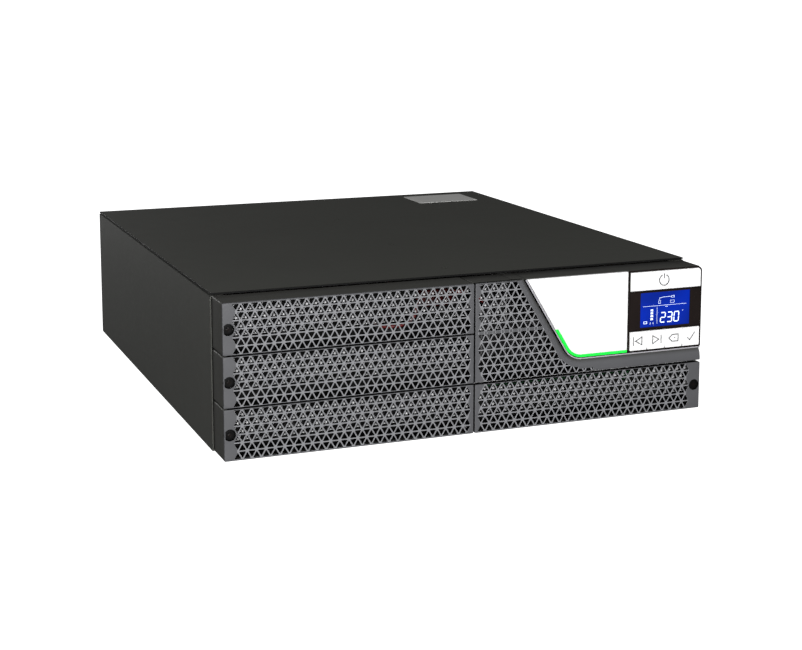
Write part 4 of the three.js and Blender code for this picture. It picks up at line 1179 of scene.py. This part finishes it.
def add_leads():
    """A red and a black wire from the pack's plug into the pack, and a pair from the socket into the case."""
    x0, x1, y0, y1, z0, z1 = edges_of("pack_lead")
    _, wire_y, wire_z = centre_of("pack_plug")
    hole_x = x0 + 3
    for name, shift, material in (("red", 1.5, "red_wire"), ("black", -1.5, "black_plastic")):
        points = [(x1, wire_y, wire_z + shift), (x1 - 4 + shift, wire_y - 1, wire_z - 4),
                  (x1 - 6 + shift, wire_y - 2, wire_z - 13), (x1 - 13, wire_y - 2, wire_z - 22 + shift),
                  (hole_x + 10, wire_y, z0 + 1 + shift), (hole_x + 2, wire_y + 4, z0 + 1 + shift),
                  (hole_x + shift, y1 - 12, z0 + 2), (hole_x + shift, y1, z0 + 2)]
        lead = tube(smooth_path(points), 1.45, 12)
        add_piece("pack_lead_" + name, lead, "pack_lead", "red_wire", material, stands=name == "red")

    x0, x1, y0, y1, z0, z1 = edges_of("battery_socket")
    for name, drop, material in (("red", 0, "red_wire"), ("black", 4, "black_plastic")):
        points = [(x1 - 0.2, y0 + 4, z1 - 8 - drop), (x1 + 12, y0 + 2.5, z1 - 7 - drop),
                  (x1 + 26, y0 + 3, z1 - 12 - drop), (x1 + 36, y0 + 8, z1 - 19 - drop),
                  (x1 + 42, y0 + 26, z1 - 24 - drop), (x1 + 44, y0 + 60, z1 - 30 - drop)]
        add_piece("socket_lead_" + name, tube(smooth_path(points), 1.6, 12), "battery_socket",
                  "red_wire", material)


def add_pack_plug():
    """The pack's plug, with grip ribs on its face."""
    x0, x1, y0, y1, z0, z1 = edges_of("pack_plug")
    plug = [rounded_box(x0, x1, y0, y1, z0, z1, 1.0, 3)]
    plug += [rounded_box(x, x + 1.4, y0 - 0.25, y0 + 1, z0 + 2, z1 - 2, 0.3)
             for x in (x0 + 4 + 3 * i for i in range(7))]
    add_piece("pack_plug_body", join_meshes(plug), "pack_plug", "red_wire", "connector_red",
              stands=True)


# ---------------------------------------------------------------- the rear

def fan_blade(x, z, turn, front, rear, root, tip):
    """A thin blade, pitched between the rotor's faces, cambered, and swept back towards its tip."""
    rows, columns, half = 8, 6, 0.7
    vertices, faces = [], []
    for i in range(rows + 1):
        t = i / rows
        radius = root + (tip - root) * t
        middle = turn + FAN["sweep"] * t * t
        width = (FAN["chord"] * (0.8 + 0.2 * t)) / radius
        for side in (-1, 1):
            for k in range(columns + 1):
                u = k / columns
                angle = middle + (u - 0.5) * width
                camber = FAN["camber"] * math.sin(math.pi * u)
                y = front + (rear - front) * u + camber + side * half * (0.35 + math.sin(math.pi * u))
                vertices.append((x + radius * math.cos(angle), y, z + radius * math.sin(angle)))
    line = columns + 1
    for i in range(rows):
        for side in (0, 1):
            for k in range(columns):
                a = (2 * i + side) * line + k
                b = a + 2 * line
                faces.append((a, a + 1, b + 1, b))
        for k in (0, columns):
            a = 2 * i * line + k
            faces.append((a, a + line, a + 3 * line, a + 2 * line))
    for i in (0, rows):
        for k in range(columns):
            a = 2 * i * line + k
            faces.append((a, a + 1, a + 1 + line, a + line))
    return mesh_from(vertices, faces)


def add_fan(number):
    """A rotor with swept blades behind a wire finger guard held by four screws."""
    name = "fan_rotor_%d" % number
    x, _, z = centre_of("fan_frame_%d" % number)
    _, _, y0, y1, _, _ = edges_of(name)
    hub = FAN["hub"]
    profile = [(0, y0), (hub - 1.5, y0), (hub, y0 + 1), (hub, y1 - 2), (hub - 0.6, y1 - 0.8), (hub - 2, y1),
               (4, y1), (3.6, y1 - 0.4), (0, y1 - 0.4)]
    pieces = [lathe_y(profile, x, z, 48)]
    for i in range(FAN["blades"]):
        turn = 2 * math.pi * i / FAN["blades"]
        pieces.append(fan_blade(x, z, turn, y0 + 1.2, y1 - 2.2, hub - 0.6, FAN["tip"]))
    add_piece(name + "_blades", join_meshes(pieces), name, "black_plastic", stands=True)

    guard = "fan_guard_%d" % number
    _, _, y0, y1, _, _ = edges_of(guard)
    wire = 0.85
    rings = []
    for radius in FAN["rings"]:
        loop = [(rx, y1 - wire, rz) for rx, rz in circle(x, z, radius, 56)]
        rings.append(tube(loop, wire, 8, closed=True))
    screws = []
    corner = FAN["corner"]
    for side_x, side_z in ((-1, -1), (1, -1), (1, 1), (-1, 1)):
        foot_x, foot_z = x + side_x * corner, z + side_z * corner
        inward = 2.1
        spoke = [(x + side_x * 5, y0 + wire, z + side_z * 5),
                 (foot_x - side_x * inward, y0 + wire, foot_z - side_z * inward)]
        rings.append(tube(spoke, wire, 8))
        eye = [(ex, y0 + wire, ez) for ex, ez in circle(foot_x, foot_z, 2.4, 20)]
        rings.append(tube(eye, wire, 8, closed=True))
        head = [(0, y0), (3.1, y0), (3.1, y0 + 0.6), (2.4, y1 - 0.2), (1.1, y1), (0.9, y1 - 0.5),
                (0, y1 - 0.5)]
        screws.append(lathe_y(head, foot_x, foot_z, 20))
    add_piece(guard + "_wires", join_meshes(rings), guard, "galvanised", stands=True)
    add_piece(guard + "_screws", join_meshes(screws), guard, "screw_black")


def knurled_knob(x, z, y0, y1, radius):
    """A thumbscrew: a fluted grip with a rounded face."""
    flutes, steps = 20, 80
    rings = []
    for y, scale in ((y0, 0.93), (y0 + 0.5, 1.0), (y1 - 0.8, 1.0), (y1 - 0.2, 0.9), (y1, 0.7)):
        ring = []
        for turn in (2 * math.pi * i / steps for i in range(steps)):
            reach = radius * scale * (0.95 + 0.05 * math.cos(flutes * turn))
            ring.append((x + reach * math.cos(turn), y, z + reach * math.sin(turn)))
        rings.append(ring)
    return loft(rings)


def add_slot_cover():
    """A plate with raised ribs and two thumbscrews."""
    x0, x1, y0, y1, z0, z1 = edges_of("slot_cover")
    x = (x0 + x1) / 2
    outline = rounded_outline(rectangle(-x1, -x0, z0, z1), 2.0)
    plate = facing_rear(panel(outline, [], -(y0 + 1.2), 1.2, rim=0.3))
    ribs = [rounded_box(x - 13, x + 13, y0 + 0.9, y0 + 1.7, z - 1, z + 1, 0.35, 3)
            for z in (z0 + 26 + 12 * i for i in range(6))]
    add_piece("slot_cover_plate", join_meshes([plate] + ribs), "slot_cover", "galvanised",
              stands=True)
    knobs = [knurled_knob(x, z, y0 + 1.5, y1, 4.0) for z in (z0 + 5, z1 - 5)]
    add_piece("slot_cover_knobs", join_meshes(knobs), "slot_cover", "galvanised", "aluminium")


def add_signal_details():
    """The serial socket's metal shell, jack screws and pins, and the stop terminal with its screws."""
    x, _, z = centre_of("signal_ports")
    y = edges_of("signal_ports")[3]
    node = "signal_ports"
    serial_z = z + SERIAL_RISE

    def d_shape(half_width, short, long, radius):
        corners = [(-half_width, -short), (half_width, -long), (half_width, long), (-half_width, short)]
        return rounded_outline([(dx - x, serial_z + dz) for dx, dz in corners], radius)

    shell = panel(d_shape(4.2, 8.2, 9.2, 1.6), [d_shape(3.4, 7.3, 8.2, 1.3)], -(y - 0.1), 1.6, rim=0.2,
                  chamfer=0.1)
    metal = [facing_rear(shell)]
    for side in (-1, 1):
        metal.append(lathe_y(disc_profile(2.4, y - 1.4, y, 0.3), x, serial_z + side * 12.5, 6))
    pin, pin_pitch = disc_profile(0.55, y - 1.5, y - 0.4, 0.1), 2.7
    pins = [lathe_y(pin, x + dx, serial_z + pin_pitch * (i - (count - 1) / 2), 10)
            for dx, count in ((-1.5, 5), (1.5, 4)) for i in range(count)]
    add_piece("serial_socket_shell", join_meshes(metal + pins), node, "black_plastic", "aluminium")
    stop_z = z + STOP_DROP
    stop = [rounded_box(x - 9, x + 9, y - 1.5, y - 0.05, stop_z - 5.2, stop_z + 5.2, 0.5)]
    add_piece("stop_terminal", join_meshes(stop), node, "black_plastic", "light_terminal")
    heads = [lathe_y(disc_profile(2.2, y - 0.4, y + 0.0, 0.15), x + dx, stop_z, 18) for dx in (-4.6, 4.6)]
    add_piece("stop_terminal_screws", join_meshes(heads), node, "black_plastic", "aluminium")


def add_rear_screws():
    """Pan-head screws along the rear panel's edges and beside the sockets."""
    y = edges_of("rear_panel")[3]
    x0, x1, _, _, z0, z1 = edges_of("rear_panel")
    places = [(x, z) for x in (x0 + 6, x0 + 150, x1 - 190, x1 - 6) for z in (z0 + 6, z1 - 4.5)]
    heads = [lathe_y([(0, y), (3.0, y), (3.0, y + 0.5), (2.3, y + 1.4), (1.0, y + 1.7), (0.8, y + 1.1),
                      (0, y + 1.1)], x, z, 24) for x, z in places]
    add_piece("rear_screws", join_meshes(heads), "rear_panel", "galvanised")


# ---------------------------------------------------------------- the case

def add_control_card():
    """A control card that stands on the main board behind the capacitor bank, with its chips and cans."""
    bank = edges_of("capacitor_bank")
    low, high = bank[4], LID[4] - 4
    x0, x1, y = bank[0] + 4, bank[0] + 96, bank[3] + 10
    node = "main_board"
    card = [rounded_box(x0, x1, y, y + 1.6, low, high, 0.2)]
    card += [rounded_box(x - 5, x + 5, y - 3, y + 4.6, low, low + 8, 0.5) for x in (x0 + 12, x1 - 12)]
    add_piece("control_card", join_meshes(card), node, "circuit_board")
    chip_places = ((30, 62, 14, 14), (8, 88, 18, 8), (62, 78, 10, 20), (8, 64, 12, 6), (50, 100, 24, 6))
    chips = [rounded_box(x0 + a, x0 + a + width, y - 2.2, y - 0.02, low + b, low + b + height, 0.3)
             for a, b, width, height in chip_places]
    add_piece("control_card_chips", join_meshes(chips), node, "circuit_board", "black_plastic")
    cans = [lathe_y(disc_profile(3.2, y - 9, y - 0.02, 0.6), x0 + a, low + b, 20)
            for a, b in ((14, 78), (84, 64), (84, 74), (46, 88))]
    add_piece("control_card_cans", join_meshes(cans), node, "circuit_board", "battery_case")


def add_lid():
    """The lid with side faces painted near black as a shadow line, three small stamped dimples along its
    middle, and its blank label.
    """
    x0, x1, y0, y1, z0, z1 = LID
    lid = rounded_box(x0, x1, y0, y1, z0, z1, 0.06, 1)
    # Painted shade: the side faces take near black steel as a shadow line.
    for polygon in lid.polygons:
        polygon.material_index = 0 if abs(polygon.normal.z) > 0.9 else 1
    add_piece("lid_sheet", lid, "top_cover", "case_paint", stands=True, more=("dark_steel_painted_shade",))
    dimples = []
    for y in (102, -58, -187):
        cap = lathe_y([(0, 0.30), (1.6, 0.26), (2.6, 0.08), (3.0, -0.2), (0, -0.2)], 0, 0, 24)
        place = Matrix.Translation(Vector((-1, y, z1 + 0.02)) * MM)
        cap.transform(place @ Matrix.Rotation(math.radians(90), 4, "X"))
        dimples.append(cap)
    add_piece("lid_rivets", join_meshes(dimples), "top_cover", "case_paint")
    x0, x1, y0, y1, z0, z1 = edges_of("rating_label")
    sheet = rounded_outline(rectangle(x0, x1, y0, y1), 2.0)
    label = loft([[(x, y, z) for x, y in sheet] for z in (LID[5] + 0.02, z1)])
    add_piece("rating_label_sheet", label, "rating_label", "label_grey", stands=True)


def soften_cad(node, width):
    """Rounds a carried-over CAD node's edges with a modifier, and leaves its mesh alone."""
    bevel = NODES[node].modifiers.new("soft_edges", "BEVEL")
    bevel.width = width * MM
    bevel.segments = 2
    bevel.limit_method = "ANGLE"
    bevel.angle_limit = math.radians(40)


# Carried-over nodes whose edges are rounded, and by how much.
SOFTENED = {
    "base_tray": 0.06, "front_frame": 0.2, "bay_partition": 0.2, "pack_tray": 0.3, "battery_socket": 0.5,
    "rear_panel": 0.2, "fan_frame_1": 0.6, "fan_frame_2": 0.6, "outlet_bank_upper": 0.35,
    "outlet_bank_lower": 0.35, "outlet_high_current": 0.35, "inlet_shell": 0.35, "inlet_pins": 0.3,
    "breaker_body": 0.4, "breaker_reset": 0.6, "signal_ports": 0.3, "heat_sink_inverter": 0.3,
    "heat_sink_charger": 0.3, "main_board": 0.15, "display_board": 0.1,
}

# Nodes whose finish differs from their slot's own: the frame, partition and tray are near black as painted
# shade on the interior seen through the grille; the plug keeps its own dark red.
FINISHES = {"front_frame": "dark_steel_painted_shade", "bay_partition": "dark_steel_painted_shade", "pack_tray": "dark_steel_painted_shade",
            "pack_plug": "connector_red"}


def dress_cad_nodes():
    """Gives every carried-over CAD node its slot's material."""
    slots = {part["node"]: part["material_slot"] for part in frame["record"]["subparts"]}
    for name, node in NODES.items():
        node.data.materials.clear()
        node.data.materials.append(MATERIALS[FINISHES.get(name, slots[name])])


MATERIALS = make_materials()
add_camera()
add_stage()
dress_cad_nodes()
for cover_name in COVER:
    add_cover(cover_name)
add_display_bezel()
add_fascia()
add_display_module()
add_lid()
add_batteries()
add_pack_handle()
add_leads()
add_pack_plug()
for fan_number in (1, 2):
    add_fan(fan_number)
add_slot_cover()
add_signal_details()
add_rear_screws()
add_control_card()
for cad_name, width in SOFTENED.items():
    soften_cad(cad_name, width)
